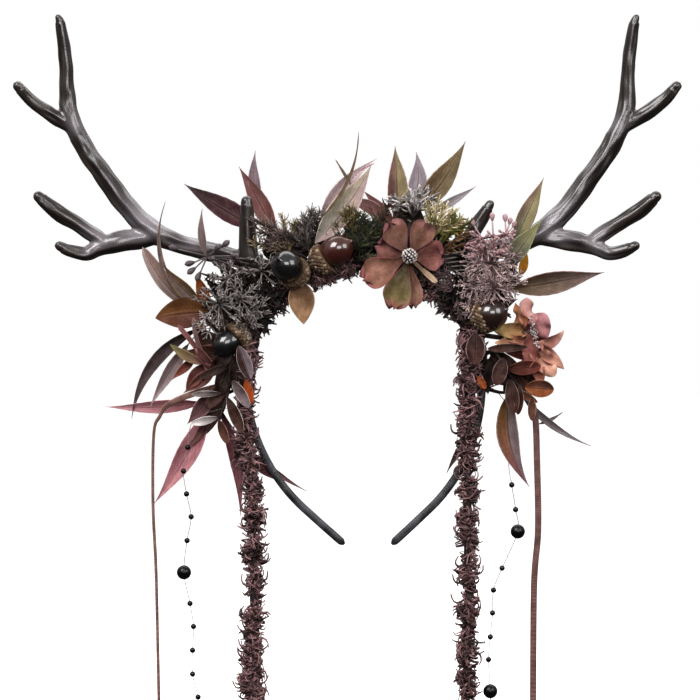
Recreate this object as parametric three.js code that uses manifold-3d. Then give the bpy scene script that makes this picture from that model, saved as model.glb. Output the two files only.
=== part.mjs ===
// Antler headband: a plastic hoop wound with shaggy trim that carries a pair of moulded antlers, silk leaves,
// fabric flowers, acorns and dry sprigs, with trails of trim, ribbons and strings of beads hanging at its sides.
// Millimetres. +X is to the right seen from the front, +Y is to the back and +Z is up.
// The origin is on the underside of the wound hoop at its crown, where it rests on the head.

import * as THREE from "three";
import { mergeVertices } from "three/addons/utils/BufferGeometryUtils.js";
import Module from "manifold-3d";

const wasm = await Module();
wasm.setup();

// Gap kept between neighbouring pieces.
const GAP = 0.3;

// Hoop: a half circle over the crown, a wider arc at each side and a straight leg to each tip. The crown leans a
// little to the left of the tips.
const CROWN_RADIUS = 65;
const SIDE_RADIUS = 93;
const SIDE_SWEEP = THREE.MathUtils.degToRad(48);
const LEG_LENGTH = 28.5;
const CROWN_LEAN = 4;
const BAND_WIDTH = 6.4;
const BAND_THICKNESS = 4.2;
const HOOP_STEPS = 32;

// Trim wound round the hoop, between two of the hoop's steps.
const WRAP_RADIUS = 6.2;
const WRAP_RIDGE = 0.6;
const WRAP_FIRST = 7;
const WRAP_LAST = 25;
const HOOP_CENTRE_Z = WRAP_RADIUS - CROWN_RADIUS;

// Antlers, mirrored about a plane a little to the left of the hoop's middle.
const ANTLER_MIDDLE_X = -11.4;
const ANTLER_SIDES = 6;

// Leaves and petals.
const LEAF_THICKNESS = 1.5;
const LEAF_SIDES = 4;
const STEM_RADIUS = 1.2;
const STEM_SIDES = 4;

// Hangings.
const HANG_END_Z = -237;
const TRAIL_CORE_RADIUS = 4.2;
const TRAIL_LOCK_LENGTH = 4.6;
const RIBBON_WIDTH = 3.5;
const RIBBON_THICKNESS = 1;
const THREAD_RADIUS = 0.35;
const SMALL_BEAD_RADIUS = 1.5;
const BIG_BEAD_RADIUS = 3.9;

// Acorns.
const NUT_RADIUS = 7.4;
const CAP_RADIUS = 8.8;

const FRONT = new THREE.Vector3(0, -1, 0);
const GOLDEN_TURN = THREE.MathUtils.degToRad(137.5);

const vec = (x, y, z) => new THREE.Vector3(x, y, z);
const through = (rows) => new THREE.CatmullRomCurve3(rows.map(([x, y, z]) => vec(x, y, z)));
const fuse = (solids) => solids.reduce((whole, solid) => whole.add(solid));

function solidFrom(geometry) {
  geometry.deleteAttribute("normal");
  geometry.deleteAttribute("uv");
  const merged = mergeVertices(geometry, 1e-4);
  const corners = merged.index.array;
  const kept = [];
  for (let i = 0; i < corners.length; i += 3) {
    const [a, b, c] = corners.slice(i, i + 3);
    if (a !== b && b !== c && c !== a) kept.push(a, b, c);
  }
  return new wasm.Manifold(new wasm.Mesh({
    numProp: 3,
    vertProperties: merged.attributes.position.array,
    triVerts: Uint32Array.from(kept),
  }));
}

// Bends a closed cylinder along a curve. section(t) gives the width across the facing direction, the thickness
// along it and how far the edges lift towards it; corner below 1 squares the section.
function loft({ curve, rings, sides, facing = () => FRONT, corner = 1, section }, grow = 0) {
  const cylinder = new THREE.CylinderGeometry(1, 1, 1, sides, rings);
  const stations = Array.from({ length: rings + 1 }, (_, i) => {
    const t = i / rings;
    const along = curve.getTangent(t);
    const across = new THREE.Vector3().crossVectors(along, facing(t)).normalize();
    const out = new THREE.Vector3().crossVectors(across, along);
    const reach = i === 0 ? -grow : i === rings ? grow : 0;
    return { middle: curve.getPoint(t).addScaledVector(along, reach), across, out, ...section(t) };
  });
  const square = (c) => Math.sign(c) * Math.abs(c) ** corner;
  const place = cylinder.attributes.position;
  for (let i = 0; i < place.count; i++) {
    const s = stations[Math.round((place.getY(i) + 0.5) * rings)];
    const x = square(place.getX(i));
    const z = square(place.getZ(i));
    const lift = (s.lift ?? 0) * (1 + (2 * grow) / s.width) * x * x;
    const point = s.middle.clone()
      .addScaledVector(s.across, (s.width / 2 + grow) * x)
      .addScaledVector(s.out, (s.thickness / 2 + grow) * z + lift);
    place.setXYZ(i, point.x, point.y, point.z);
  }
  return solidFrom(cylinder);
}

// A round limb through rows of [x, y, z, radius].
function limb(rows, sides, rings, grow) {
  const last = rows.length - 1;
  const radiusAt = (t) => {
    const i = Math.min(Math.floor(t * last), last - 1);
    return THREE.MathUtils.lerp(rows[i][3], rows[i + 1][3], t * last - i);
  };
  const section = (t) => ({ width: 2 * radiusAt(t), thickness: 2 * radiusAt(t) });
  return loft({ curve: through(rows), rings, sides, section }, grow);
}

function spike(from, to, radius, grow) {
  const along = to.clone().sub(from);
  const cone = new THREE.ConeGeometry(radius + grow, along.length() + 2 * grow, 3);
  cone.applyQuaternion(new THREE.Quaternion().setFromUnitVectors(vec(0, 1, 0), along.clone().normalize()));
  const middle = from.clone().addScaledVector(along, 0.5);
  cone.translate(middle.x, middle.y, middle.z);
  return solidFrom(cone);
}

function ball(at, radius, sides, grow) {
  const sphere = new THREE.SphereGeometry(radius + grow, sides, sides < 12 ? 3 : 4);
  sphere.translate(at.x, at.y, at.z);
  return solidFrom(sphere);
}

// Hoop.
const legDrop = vec(-Math.sin(SIDE_SWEEP), 0, -Math.cos(SIDE_SWEEP)).multiplyScalar(LEG_LENGTH);
const sideCentreX = CROWN_RADIUS - SIDE_RADIUS;
const hoopPath = new THREE.Path();
const legTop = vec(
  sideCentreX + SIDE_RADIUS * Math.cos(SIDE_SWEEP),
  0,
  HOOP_CENTRE_Z - SIDE_RADIUS * Math.sin(SIDE_SWEEP),
);
const tip = legTop.clone().add(legDrop);
hoopPath.moveTo(tip.x, tip.z);
hoopPath.lineTo(legTop.x, legTop.z);
hoopPath.absarc(sideCentreX, HOOP_CENTRE_Z, SIDE_RADIUS, -SIDE_SWEEP, 0);
hoopPath.absarc(0, HOOP_CENTRE_Z, CROWN_RADIUS, 0, Math.PI);
hoopPath.absarc(-sideCentreX, HOOP_CENTRE_Z, SIDE_RADIUS, Math.PI, Math.PI + SIDE_SWEEP);
hoopPath.lineTo(-tip.x, tip.z);

const leaning = (x, z) => x - CROWN_LEAN * (1 - z / tip.z);

class HoopCurve extends THREE.Curve {
  constructor(first, last) {
    super();
    this.first = first / HOOP_STEPS;
    this.last = last / HOOP_STEPS;
  }

  getPoint(t) {
    const flat = hoopPath.getPoint(THREE.MathUtils.lerp(this.first, this.last, t));
    return vec(leaning(flat.x, flat.y), 0, flat.y);
  }
}

function headband(grow) {
  const blunt = (t) => (Math.min(t, 1 - t) < 0.5 / HOOP_STEPS ? 0.6 : 1);
  return loft({
    curve: new HoopCurve(0, HOOP_STEPS),
    rings: HOOP_STEPS,
    sides: 6,
    corner: 0.5,
    section: (t) => ({ width: BAND_THICKNESS * blunt(t), thickness: BAND_WIDTH * blunt(t) }),
  }, grow);
}

function bandWrap(grow) {
  const rings = WRAP_LAST - WRAP_FIRST;
  const radius = (t) => WRAP_RADIUS - (Math.round(t * rings) % 2) * WRAP_RIDGE;
  return loft({
    curve: new HoopCurve(WRAP_FIRST, WRAP_LAST),
    rings,
    sides: 6,
    section: (t) => ({ width: 2 * radius(t), thickness: 2 * radius(t) }),
  }, grow);
}

// A point inside the wound hoop, turned from its right side, where a stem starts.
function onHoop(degrees, back) {
  const turn = THREE.MathUtils.degToRad(degrees);
  const z = HOOP_CENTRE_Z + CROWN_RADIUS * Math.sin(turn);
  return [leaning(CROWN_RADIUS * Math.cos(turn), z), back, z];
}

// Antler branches through rows of [out from the middle plane, back, up, radius].
const ANTLER_BRANCHES = [
  {
    rings: 14,
    rows: [
      [24, 2, -4, 5], [46, 3, 3, 5], [64, 3, 9.5, 5], [81, 3, 13.8, 5.2], [97, 3, 18.4, 5.6], [109.5, 3, 25, 6],
      [122, 4, 37.7, 5.3], [133, 6, 52.6, 5.3], [143, 8, 67.5, 5], [152.3, 9, 86, 4.8], [154, 9, 100, 4.2],
      [154.5, 8, 117, 3.5], [157.3, 6, 137, 2.8], [158.8, 5, 142.5, 1.6],
    ],
  },
  { rings: 3, rows: [[150.5, 9, 81.5, 3.8], [164.7, 7, 88.9, 3.9], [174, 4, 95.8, 3.3], [181.8, 1, 104.2, 2.2]] },
  {
    rings: 5,
    rows: [
      [104, 3, 21, 4.6], [125, 2, 18, 5.8], [137, 1, 14.5, 4.5], [144, 0, 11.2, 3.7], [152.4, -2, 12.8, 3.4],
      [159.6, -4, 16.2, 1.8],
    ],
  },
  { rings: 3, rows: [[134, 1, 17.5, 4.2], [148, 1, 27, 4], [160.2, -1, 34.7, 3.9], [171, -4, 44, 2.2]] },
];
const BROW_TINE_LEFT = [[54.6, 2, 4, 5.4], [54.6, 0, 14, 5], [55, -2, 32, 4], [55.2, -3, 43, 2.6]];
const BROW_TINE_RIGHT = [[58, 3, 6, 4], [67.5, 1, 18.7, 3.4], [75, 0, 31, 2.8], [79.6, -1, 40.2, 1.5]];

function antler(side, browTine, grow) {
  const branches = [...ANTLER_BRANCHES, { rings: 3, rows: browTine }];
  return fuse(branches.map(({ rings, rows }) => {
    const placed = rows.map(([out, back, up, radius]) => [ANTLER_MIDDLE_X + side * out, back, up, radius]);
    return limb(placed, ANTLER_SIDES, rings, grow);
  }));
}

// Leaf outlines: share of the full width at a share of the length.
const OUTLINES = {
  willow: { rings: 4, share: (t) => Math.sin(Math.PI * t ** 0.85) },
  oval: { rings: 3, share: (t) => Math.sin(Math.PI * t ** 1.2) ** 0.7 },
  round: { rings: 5, share: (t) => Math.sin(Math.PI * t ** 1.4) ** 0.55 },
  petal: { rings: 3, share: (t) => Math.sin(Math.PI * (0.05 + 0.83 * t) ** 1.5) ** 0.8 },
};

// A leaf from one point to another. bow bends it sideways, arch bends it to the back, roll turns its face.
function leaf({ from, to, width, outline, bow = 0, arch = 0, roll = 0, fold = 0.12 }, grow) {
  const along = to.clone().sub(from).normalize();
  const sideways = new THREE.Vector3().crossVectors(along, FRONT).normalize();
  const control = from.clone().lerp(to, 0.5).addScaledVector(sideways, 2 * bow);
  control.y += 2 * arch;
  const facing = FRONT.clone().applyAxisAngle(along, THREE.MathUtils.degToRad(roll));
  const { rings, share } = OUTLINES[outline];
  return loft({
    curve: new THREE.QuadraticBezierCurve3(from, control, to),
    rings,
    sides: LEAF_SIDES,
    facing: () => facing,
    section: (t) => {
      const across = Math.max(1.1, width * Math.max(0, share(t)));
      return { width: across, thickness: LEAF_THICKNESS, lift: fold * across };
    },
  }, grow);
}

// Sprays of leaves. Each stem runs from the hoop at root [degrees, back] through its stem points, and each leaf
// starts at a share of the stem's length.
const SPRAYS = [
  {
    name: "willow_left_top", outline: "willow", colour: "#5a3339", root: [124, 4],
    stem: [[-44, 10, 9], [-50, 11, 20]],
    leaves: [
      { at: 1, to: [-100, 12, 49.5], width: 13, bow: -2.5, roll: 15 },
      { at: 0.95, to: [-71, 13, 59], width: 11, bow: 2 },
      { at: 0.9, to: [-62, 16, 69], width: 6.6, bow: -3 },
    ],
  },
  {
    name: "willow_left_side", outline: "willow", colour: "#7a5550", root: [152, 3],
    stem: [[-76, 4, -25], [-92, 3, -22]],
    leaves: [
      { at: 1, to: [-111, -6, 39.6], width: 4, bow: -10 },
      { at: 0.98, to: [-122, -2, 15.4], width: 8.5, bow: -6.5, roll: 20 },
      { at: 0.94, to: [-113, 5, 6], width: 6.6, bow: -2 },
    ],
  },
  {
    name: "willow_left_low", outline: "willow", colour: "#574442", root: [163, 2],
    stem: [[-78, 4, -34], [-93, 3, -30]],
    leaves: [
      { at: 1, to: [-130, 0, -80], width: 6.6, bow: 10 },
      { at: 0.97, to: [-120, -1, -73.7], width: 6.6, bow: -3, roll: -15 },
    ],
  },
  {
    name: "willow_left_tail", outline: "willow", colour: "#7d4249", root: [182, 2],
    stem: [[-76, 3, -65], [-86, 2, -70]],
    leaves: [
      { at: 1, to: [-144.7, 1, -72.6], width: 8.8 },
      { at: 1, to: [-117.7, -2, -126.5], width: 12, bow: -4 },
      { at: 0.9, to: [-70.4, 4, -133.7], width: 6.6, bow: -4 },
      { at: 0.9, to: [-33.6, 9, -120], width: 3.4, bow: 6, arch: 2 },
      { at: 0.98, to: [-109.5, -5, -38], width: 4.4, bow: 1 },
    ],
  },
  {
    name: "willow_centre_left", outline: "willow", colour: "#7b6660", root: [112, 4],
    stem: [[-27, 7, 9], [-29, 8, 17]],
    leaves: [
      { at: 1, to: [1, 9, 60.5], width: 15, bow: 1, roll: -10 },
      { at: 0.95, to: [-5.5, 7, 78], width: 3.6, bow: 3.5 },
      { at: 0.97, to: [5.5, 13, 65], width: 6.6, bow: -2.5 },
      { at: 0.9, to: [-17.6, 6, 62.7], width: 3, bow: 5 },
    ],
  },
  {
    name: "willow_centre", outline: "willow", colour: "#6f5f55", root: [84, 5],
    stem: [[11, 9, 15], [17, 9, 26]],
    leaves: [
      { at: 0.97, to: [15, 9, 71], width: 11, roll: 10 },
      { at: 1, to: [26.8, 12, 68], width: 10, bow: 5 },
      { at: 0.98, to: [54, 9, 73.7], width: 14, bow: 3, roll: -12 },
      { at: 0.94, to: [60, 4, 48.4], width: 4.4, bow: 1 },
      { at: 0.95, to: [-18.2, -1, 42], width: 11, bow: 2, roll: 20 },
      { at: 0.85, to: [24, 4, 42], width: 12 },
    ],
  },
  {
    name: "willow_right", outline: "willow", colour: "#7c7a5e", root: [48, -3],
    stem: [[58, -7, -6], [72, -7.5, -2]],
    leaves: [
      { at: 0.97, to: [95.7, -6.5, 51.7], width: 9.4 },
      { at: 1, to: [95.7, -10, 30.8], width: 10, roll: -15 },
      { at: 0.9, to: [129.5, -5, 0.8], width: 12, bow: 5, roll: 10 },
    ],
  },
  {
    name: "willow_right_tail", outline: "willow", colour: "#84663f", root: [-3, 2],
    stem: [[72, 2, -65], [78, 0, -65]],
    leaves: [
      { at: 1, to: [88.8, -1, -116], width: 11, bow: 7, roll: 12 },
      { at: 0.97, to: [122.7, -2, -94.6], width: 4.4, bow: 1.5 },
      { at: 0.9, to: [107.3, 0, -76], width: 2.6, bow: 2 },
      { at: 0.85, to: [43.5, 9, -110], width: 4.4, bow: 2, arch: 2 },
    ],
  },
  {
    name: "oval_spray_left", outline: "oval", colour: "#3a302e", root: [172, -4],
    stem: [[-76, -10, -52], [-80, -13, -62], [-81, -13, -80]],
    leaves: [
      { at: 0.4, to: [-96, -12, -54], width: 7.5, roll: 15 },
      { at: 0.6, to: [-99, -12, -67], width: 7.5, roll: -10 },
      { at: 0.75, to: [-97, -14, -75], width: 7 },
      { at: 1, to: [-98, -12, -83], width: 6.5, roll: 20 },
      { at: 1, to: [-77, -14, -96], width: 6.5 },
      { at: 0.45, to: [-64, -20, -46], width: 8.5 },
      { at: 0.6, to: [-63, -20, -67], width: 7.5, roll: -15 },
      { at: 0.8, to: [-65, -20, -78], width: 7.5, roll: 10 },
    ],
  },
  {
    name: "oval_spray_right", outline: "oval", colour: "#413531", root: [12, -4],
    stem: [[69, -13, -45], [72, -17, -50], [78, -16, -60], [83, -14, -69]],
    leaves: [
      { at: 0.42, to: [54, -21, -41], width: 9.5, roll: 10 },
      { at: 0.55, to: [66, -19, -62], width: 9 },
      { at: 0.36, to: [86, -15, -40], width: 6, roll: -15 },
      { at: 0.33, to: [84, -16, -30], width: 6.5 },
      { at: 0.6, to: [94, -16, -54], width: 6, roll: 12 },
      { at: 0.75, to: [76, -19, -77], width: 8 },
      { at: 0.85, to: [101, -13, -60], width: 10, roll: 15 },
      { at: 1, to: [91, -14, -81], width: 5.5 },
      { at: 0.98, to: [83, -16, -82], width: 6, roll: -10 },
    ],
  },
  {
    name: "rounded_leaf_left", outline: "round", colour: "#6d4733", root: [154, -2],
    stem: [[-74, -5, -25], [-88, -5, -21]],
    leaves: [
      { at: 1, to: [-116, -7, -24], width: 17, bow: 1 },
      { at: 0.96, to: [-94, -2, -1], width: 7 },
    ],
  },
  {
    name: "tan_leaf", outline: "round", colour: "#a07c5c", root: [120, -4],
    stem: [[-36, -10, -4], [-37, -11, -8]],
    leaves: [{ at: 1, to: [-34.7, -13, -27.5], width: 13, bow: -1 }],
  },
];

function spray({ root, stem, outline, leaves }, grow) {
  const rows = [onHoop(...root), ...stem];
  const curve = through(rows);
  const stalk = limb(rows.map((row) => [...row, STEM_RADIUS]), STEM_SIDES, stem.length + 1, grow);
  return fuse([stalk, ...leaves.map((row) => leaf({
    ...row,
    outline,
    from: curve.getPoint(row.at),
    to: vec(...row.to),
  }, grow))]);
}

// Flowers: petals round a receptacle. turn is measured from the right, anticlockwise seen facing the flower,
// and spread is the angle from the axis.
const RECEPTACLE_RADIUS = 2.8;
const FLOWERS = [
  {
    name: "flower_front", root: [76, -4], stem: [20, -9, 6], at: vec(22, -14, 8.8), axis: vec(0.05, -1, 0.05),
    heartRadius: 4.4,
    petals: [
      { turn: 119, length: 21, width: 18, spread: 78 },
      { turn: 60, length: 20, width: 15, spread: 73 },
      { turn: 2, length: 18.5, width: 17, spread: 80 },
      { turn: -44, length: 21, width: 4.4, spread: 70 },
      { turn: -80, length: 25, width: 12, spread: 92 },
      { turn: -104, length: 28, width: 16, spread: 78 },
      { turn: 206, length: 28, width: 17, spread: 80 },
      { turn: 158, length: 18, width: 15, spread: 92 },
    ],
  },
  {
    name: "flower_side", root: [24, -4], stem: [74, -7, -35], at: vec(86, -12, -33), axis: vec(0.85, -0.5, 0.12),
    heartRadius: 3.4,
    petals: [
      { turn: 100, length: 17, width: 11, spread: 80 },
      { turn: 30, length: 19, width: 14, spread: 65 },
      { turn: 2, length: 26, width: 10, spread: 66 },
      { turn: -50, length: 29, width: 12, spread: 66 },
      { turn: -82, length: 26, width: 12, spread: 64 },
      { turn: 196, length: 25, width: 7, spread: 100 },
      { turn: 176, length: 24, width: 9, spread: 98 },
      { turn: 138, length: 15, width: 11, spread: 82 },
    ],
  },
];

// Unit vectors along an axis, to the right of it seen from its tip, and above it.
function besides(axis) {
  const along = axis.clone().normalize();
  const right = new THREE.Vector3().crossVectors(vec(0, 0, 1), along).normalize();
  const above = new THREE.Vector3().crossVectors(along, right);
  return { along, right, above };
}

function petals({ root, stem, at, axis, petals: rows }, grow) {
  const { along, right, above } = besides(axis);
  const stalk = limb([onHoop(...root), stem, at.toArray()].map((row) => [...row, 1.6]), STEM_SIDES, 3, grow);
  const receptacle = ball(at, RECEPTACLE_RADIUS, 10, grow);
  return fuse([stalk, receptacle, ...rows.map(({ turn, length, width, spread }) => {
    const around = THREE.MathUtils.degToRad(turn);
    const out = right.clone().multiplyScalar(Math.cos(around)).addScaledVector(above, Math.sin(around));
    const open = THREE.MathUtils.degToRad(spread);
    const along1 = out.clone().multiplyScalar(Math.sin(open)).addScaledVector(along, Math.cos(open));
    const face = out.clone().multiplyScalar(-Math.cos(open)).addScaledVector(along, Math.sin(open));
    const from = at.clone().addScaledVector(along1, 0.4 * RECEPTACLE_RADIUS);
    const to = at.clone().addScaledVector(along1, length);
    return loft({
      curve: new THREE.QuadraticBezierCurve3(from, from.clone().lerp(to, 0.5).addScaledVector(face, -2), to),
      rings: OUTLINES.petal.rings,
      sides: LEAF_SIDES,
      facing: () => face,
      section: (t) => {
        const across = Math.max(2, width * OUTLINES.petal.share(t));
        return { width: across, thickness: LEAF_THICKNESS, lift: 0.14 * across };
      },
    }, grow);
  })]);
}

function heart({ at, axis, heartRadius }, grow) {
  const along = axis.clone().normalize();
  const reach = RECEPTACLE_RADIUS + GAP + heartRadius;
  return ball(at.clone().addScaledVector(along, reach), heartRadius, 12, grow);
}

// Acorns: the middle of the cap's mouth and the direction in which the nut points.
const ACORNS = [
  { name: "acorn_a", at: vec(-38.5, -17, 1), axis: vec(-0.72, -0.62, 0.3), nut: "#141214" },
  { name: "acorn_b", at: vec(-25, -10.5, 7.4), axis: vec(0.8, -0.3, 0.52), nut: "#4a2f24" },
  { name: "acorn_c", at: vec(-72.4, -9.6, -34.2), axis: vec(-0.72, -0.32, -0.62), nut: "#171314" },
  { name: "acorn_d", at: vec(65, -13, -24.5), axis: vec(0.86, -0.4, 0.3), nut: "#3b2620" },
];
const NUT_PROFILE = [[0, -5], [0.66, -4], [0.97, 0.5], [0.96, 5.5], [0.6, 10.5], [0.16, 12.6], [0, 14]];
const CAP_OUTSIDE = [[0, -13], [0.15, -13], [0.2, -7.6], [0.72, -5.8], [1, -1], [0.97, 2]];

function turned(profile, { at, axis }) {
  const lathe = new THREE.LatheGeometry(profile.map(([r, h]) => new THREE.Vector2(r, h)), 8);
  lathe.applyQuaternion(new THREE.Quaternion().setFromUnitVectors(vec(0, 1, 0), axis.clone().normalize()));
  lathe.translate(at.x, at.y, at.z);
  return solidFrom(lathe);
}

function grown(rows, radius, grow) {
  const last = rows.length - 1;
  return rows.map(([share, height], i) => [
    i === 0 || i === last ? 0 : share * radius + grow,
    height + (i <= 1 ? -grow : i === last ? grow : 0),
  ]);
}

const nut = (row, grow) => turned(grown(NUT_PROFILE, NUT_RADIUS, grow), row);
const cap = (row, grow) => turned(grown([...CAP_OUTSIDE, [0, 2]], CAP_RADIUS, grow), row);

// Pine sprigs: a stem with needles set round it, leaning towards its tip.
const SPRIGS = [
  { name: "sprig_gold", colour: "#6f5a38", rows: [onHoop(122, -3), [-44, -6, 14], [-48, -5, 36]], needle: 11 },
  { name: "sprig_dark", colour: "#2b2322", rows: [onHoop(113, -3), [-29, -5, 16], [-27, -5, 36]], needle: 11 },
  { name: "sprig_green", colour: "#565a43", rows: [onHoop(99, -4), [-9, -8, 15], [-9, -7, 30]], needle: 9 },
  { name: "sprig_brown", colour: "#5c4636", rows: [onHoop(88, -3), [5, -5, 20], [11, -3, 38]], needle: 10 },
  { name: "sprig_grey", colour: "#8d857c", rows: [onHoop(71, -2), [24, -2, 22], [25, 0, 41]], needle: 11 },
  { name: "sprig_olive", colour: "#86763f", rows: [onHoop(60, -3), [38, -6, 16], [50, -5, 32]], needle: 12 },
  { name: "sprig_pink", colour: "#8b7270", rows: [onHoop(46, -4), [46, -11, -7], [42, -15, 1]], needle: 7 },
];
const NEEDLES = 6;

function sprig({ rows, needle }, grow) {
  const curve = through(rows);
  const parts = [limb(rows.map((row) => [...row, STEM_RADIUS]), STEM_SIDES, 3, grow)];
  for (let i = 0; i < NEEDLES; i++) {
    const t = 0.5 + (0.5 * i) / (NEEDLES - 1);
    const from = curve.getPoint(t);
    const { along, right, above } = besides(curve.getTangent(t));
    const turn = i * GOLDEN_TURN;
    const lean = i === NEEDLES - 1 ? 0 : 0.85;
    const out = right.multiplyScalar(Math.cos(turn)).addScaledVector(above, Math.sin(turn));
    const to = from.clone().addScaledVector(along, needle * (1 - 0.35 * lean)).addScaledVector(out, needle * lean);
    parts.push(spike(from, to, 0.7, grow));
  }
  return fuse(parts);
}

// Stalks that radiate from hubs on a stem. Each hub has a dome of spokes towards the front.
const UMBELS = [
  {
    name: "umbel_left", colour: "#867c74", rows: [onHoop(146, -4), [-69, -13, -15], [-81, -15, -17]],
    hubs: [{ at: vec(-69, -13, -15), reach: 12, spokes: 5 }, { at: vec(-81, -15, -17), reach: 14, spokes: 7 }],
  },
  {
    name: "umbel_right", colour: "#75675d", rows: [onHoop(40, -4), [58, -11, -9], [69, -13, 1]],
    hubs: [{ at: vec(69, -13, 1), reach: 16, spokes: 10 }],
  },
];

// Stalks with a bud at the end of each: rows of [x, y, z, bud radius].
const BUD_SPRAYS = [
  {
    name: "bud_sprig_left", colour: "#4b3f3a", rows: [onHoop(132, -4), [-58, -9, 3], [-75, -8, 7], [-88, -8, 9.4]],
    hub: vec(-88, -8, 9.4),
    buds: [
      [-98, -9, 5.5, 1.6], [-97, -10, 1.2, 1.6], [-93, -11, -2, 1.6], [-107, -8, 14.3, 1.6], [-82.5, -11, 17, 1.5],
      [-90.4, -9, 35, 1.4],
    ],
  },
  {
    name: "bud_spray_right", colour: "#8a6a70", rows: [onHoop(54, -4), [47, -9, 4], [55, -9, 17]],
    hub: vec(55, -9, 17),
    buds: [
      [67.7, -12, 31.4, 2], [74.8, -12, 30.8, 2], [77.6, -11, 26, 2], [57.2, -10, 28, 1.8], [64, -14, 22, 1.8],
      [72, -14, 20, 1.8], [61, -15, 13, 1.8],
    ],
  },
];

function umbel({ rows, hubs }, grow) {
  const parts = [limb(rows.map((row) => [...row, STEM_RADIUS]), STEM_SIDES, 3, grow)];
  for (const { at, reach, spokes } of hubs) {
    for (let i = 0; i < spokes; i++) {
      const forward = 0.1 + (0.85 * (i + 0.5)) / spokes;
      const wide = Math.sqrt(1 - forward * forward);
      const turn = i * GOLDEN_TURN;
      const out = vec(wide * Math.cos(turn), -0.7 * forward, wide * Math.sin(turn));
      parts.push(spike(at, at.clone().addScaledVector(out, reach), 0.7, grow));
    }
  }
  return fuse(parts);
}

function budSpray({ rows, hub, buds }, grow) {
  const stem = limb(rows.map((row) => [...row, STEM_RADIUS]), STEM_SIDES, 3, grow);
  return fuse([stem, ...buds.map(([x, y, z, radius]) => {
    const tip = vec(x, y, z);
    const along = tip.clone().sub(hub).normalize();
    const neck = tip.clone().addScaledVector(along, -2 * radius);
    const end = tip.clone().addScaledVector(along, radius);
    const club = [[...hub, 0.5], [...neck, 0.5], [...tip, radius], [...end, 0.5]];
    return limb(club, STEM_SIDES, 3, grow);
  })]);
}

// Trails of trim: a shaggy core through its points, with locks set round it.
const TRAIL_LEFT = [
  [-65, -3, -42], [-67.7, -10.5, -52], [-67.7, -10.5, -85], [-63.8, -10.5, -115], [-62.7, -10, -152], [-62.7, -10, -195],
  [-61.6, -10, HANG_END_Z],
];
const TRAIL_RIGHT = [
  [62, -3, -39], [60.5, -10.5, -50], [58, -10.5, -75], [54.8, -10.5, -100], [54.5, -10, -150], [54.5, -10, -195],
  [53.9, -10, HANG_END_Z],
];
const TRAIL_LOCKS = 16;

function trail(points, grow) {
  const curve = through(points);
  const rings = 17;
  const radius = (t) => (t > 0.99 ? 1.2 : TRAIL_CORE_RADIUS + 0.7 * Math.sin(rings * 2 * t));
  const parts = [loft({
    curve,
    rings,
    sides: 6,
    section: (t) => ({ width: 2 * radius(t), thickness: 2 * radius(t) }),
  }, grow)];
  for (let i = 0; i < TRAIL_LOCKS; i++) {
    const from = curve.getPoint(0.2 + (0.77 * i) / TRAIL_LOCKS);
    const turn = i * GOLDEN_TURN;
    const reach = TRAIL_CORE_RADIUS + TRAIL_LOCK_LENGTH * (0.75 + 0.25 * Math.sin(5 * i));
    const to = from.clone().add(vec(reach * Math.cos(turn), 0.8 * reach * Math.sin(turn), -0.5 * reach));
    parts.push(spike(from, to, 2.6, grow));
  }
  return fuse(parts);
}

// Ribbons: points down the ribbon, and how far it turns from facing the front, in degrees at its start and end.
const RIBBON_LEFT = {
  points: [
    [-66, -4, -60], [-78, -5.5, -61], [-95, -7, -65.5], [-109, -8, -71.5], [-114, -8, -78], [-117.3, -8, -88],
    [-117.7, -8, -126.5], [-116, -8, -164.5], [-114.4, -8, HANG_END_Z],
  ],
  facing: [20, 68],
};
const RIBBON_RIGHT = {
  points: [
    [66, -4, -67], [76, -6, -68], [86, -8, -70.5], [91, -8.5, -79], [92.4, -8.5, -103], [93, -8.5, -140],
    [90.8, -8.5, -170.5], [90.2, -8.5, HANG_END_Z],
  ],
  facing: [10, 0],
};

function ribbon({ points, facing: [first, last] }, grow) {
  const turned = (t) => {
    const turn = THREE.MathUtils.degToRad(THREE.MathUtils.lerp(first, last, Math.min(1, t / 0.6)));
    return vec(Math.sin(turn), -Math.cos(turn), 0);
  };
  return loft({
    curve: through(points),
    rings: 13,
    sides: 4,
    facing: turned,
    section: () => ({ width: RIBBON_WIDTH, thickness: RIBBON_THICKNESS }),
  }, grow);
}

// Strings of beads: the thread's points above the first bead, then rows of [x, y, z, bead radius].
const STRING_LEFT = {
  lead: [[-65, -2, -72], [-84, -6, -75], [-96, -9, -81]],
  beads: [
    [-98.7, -9, -95, SMALL_BEAD_RADIUS], [-101, -9, -108, SMALL_BEAD_RADIUS], [-99.3, -9, -120.5, SMALL_BEAD_RADIUS],
    [-96.8, -9, -133, SMALL_BEAD_RADIUS], [-99, -9, -146, SMALL_BEAD_RADIUS], [-100.7, -9, -163.4, BIG_BEAD_RADIUS],
    [-97.4, -9, -180.4, SMALL_BEAD_RADIUS], [-95.5, -9, -193, SMALL_BEAD_RADIUS], [-96, -9, -206, SMALL_BEAD_RADIUS],
    [-96, -9, -219, SMALL_BEAD_RADIUS], [-93, -9, -231.6, SMALL_BEAD_RADIUS],
  ],
};
const STRING_RIGHT = {
  lead: [[64, -3, -72], [75, -8, -82], [77.5, -10, -100]],
  beads: [
    [78.5, -10, -115.5, SMALL_BEAD_RADIUS], [80.6, -10, -129, SMALL_BEAD_RADIUS], [81.8, -10, -141, BIG_BEAD_RADIUS],
    [73.2, -10, -161, SMALL_BEAD_RADIUS], [68.5, -10, -173, SMALL_BEAD_RADIUS], [68, -10, -185.5, SMALL_BEAD_RADIUS],
    [66.8, -10, -198.6, SMALL_BEAD_RADIUS], [65.8, -10, -211, SMALL_BEAD_RADIUS], [66.8, -10, -228.3, BIG_BEAD_RADIUS],
  ],
};

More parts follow.
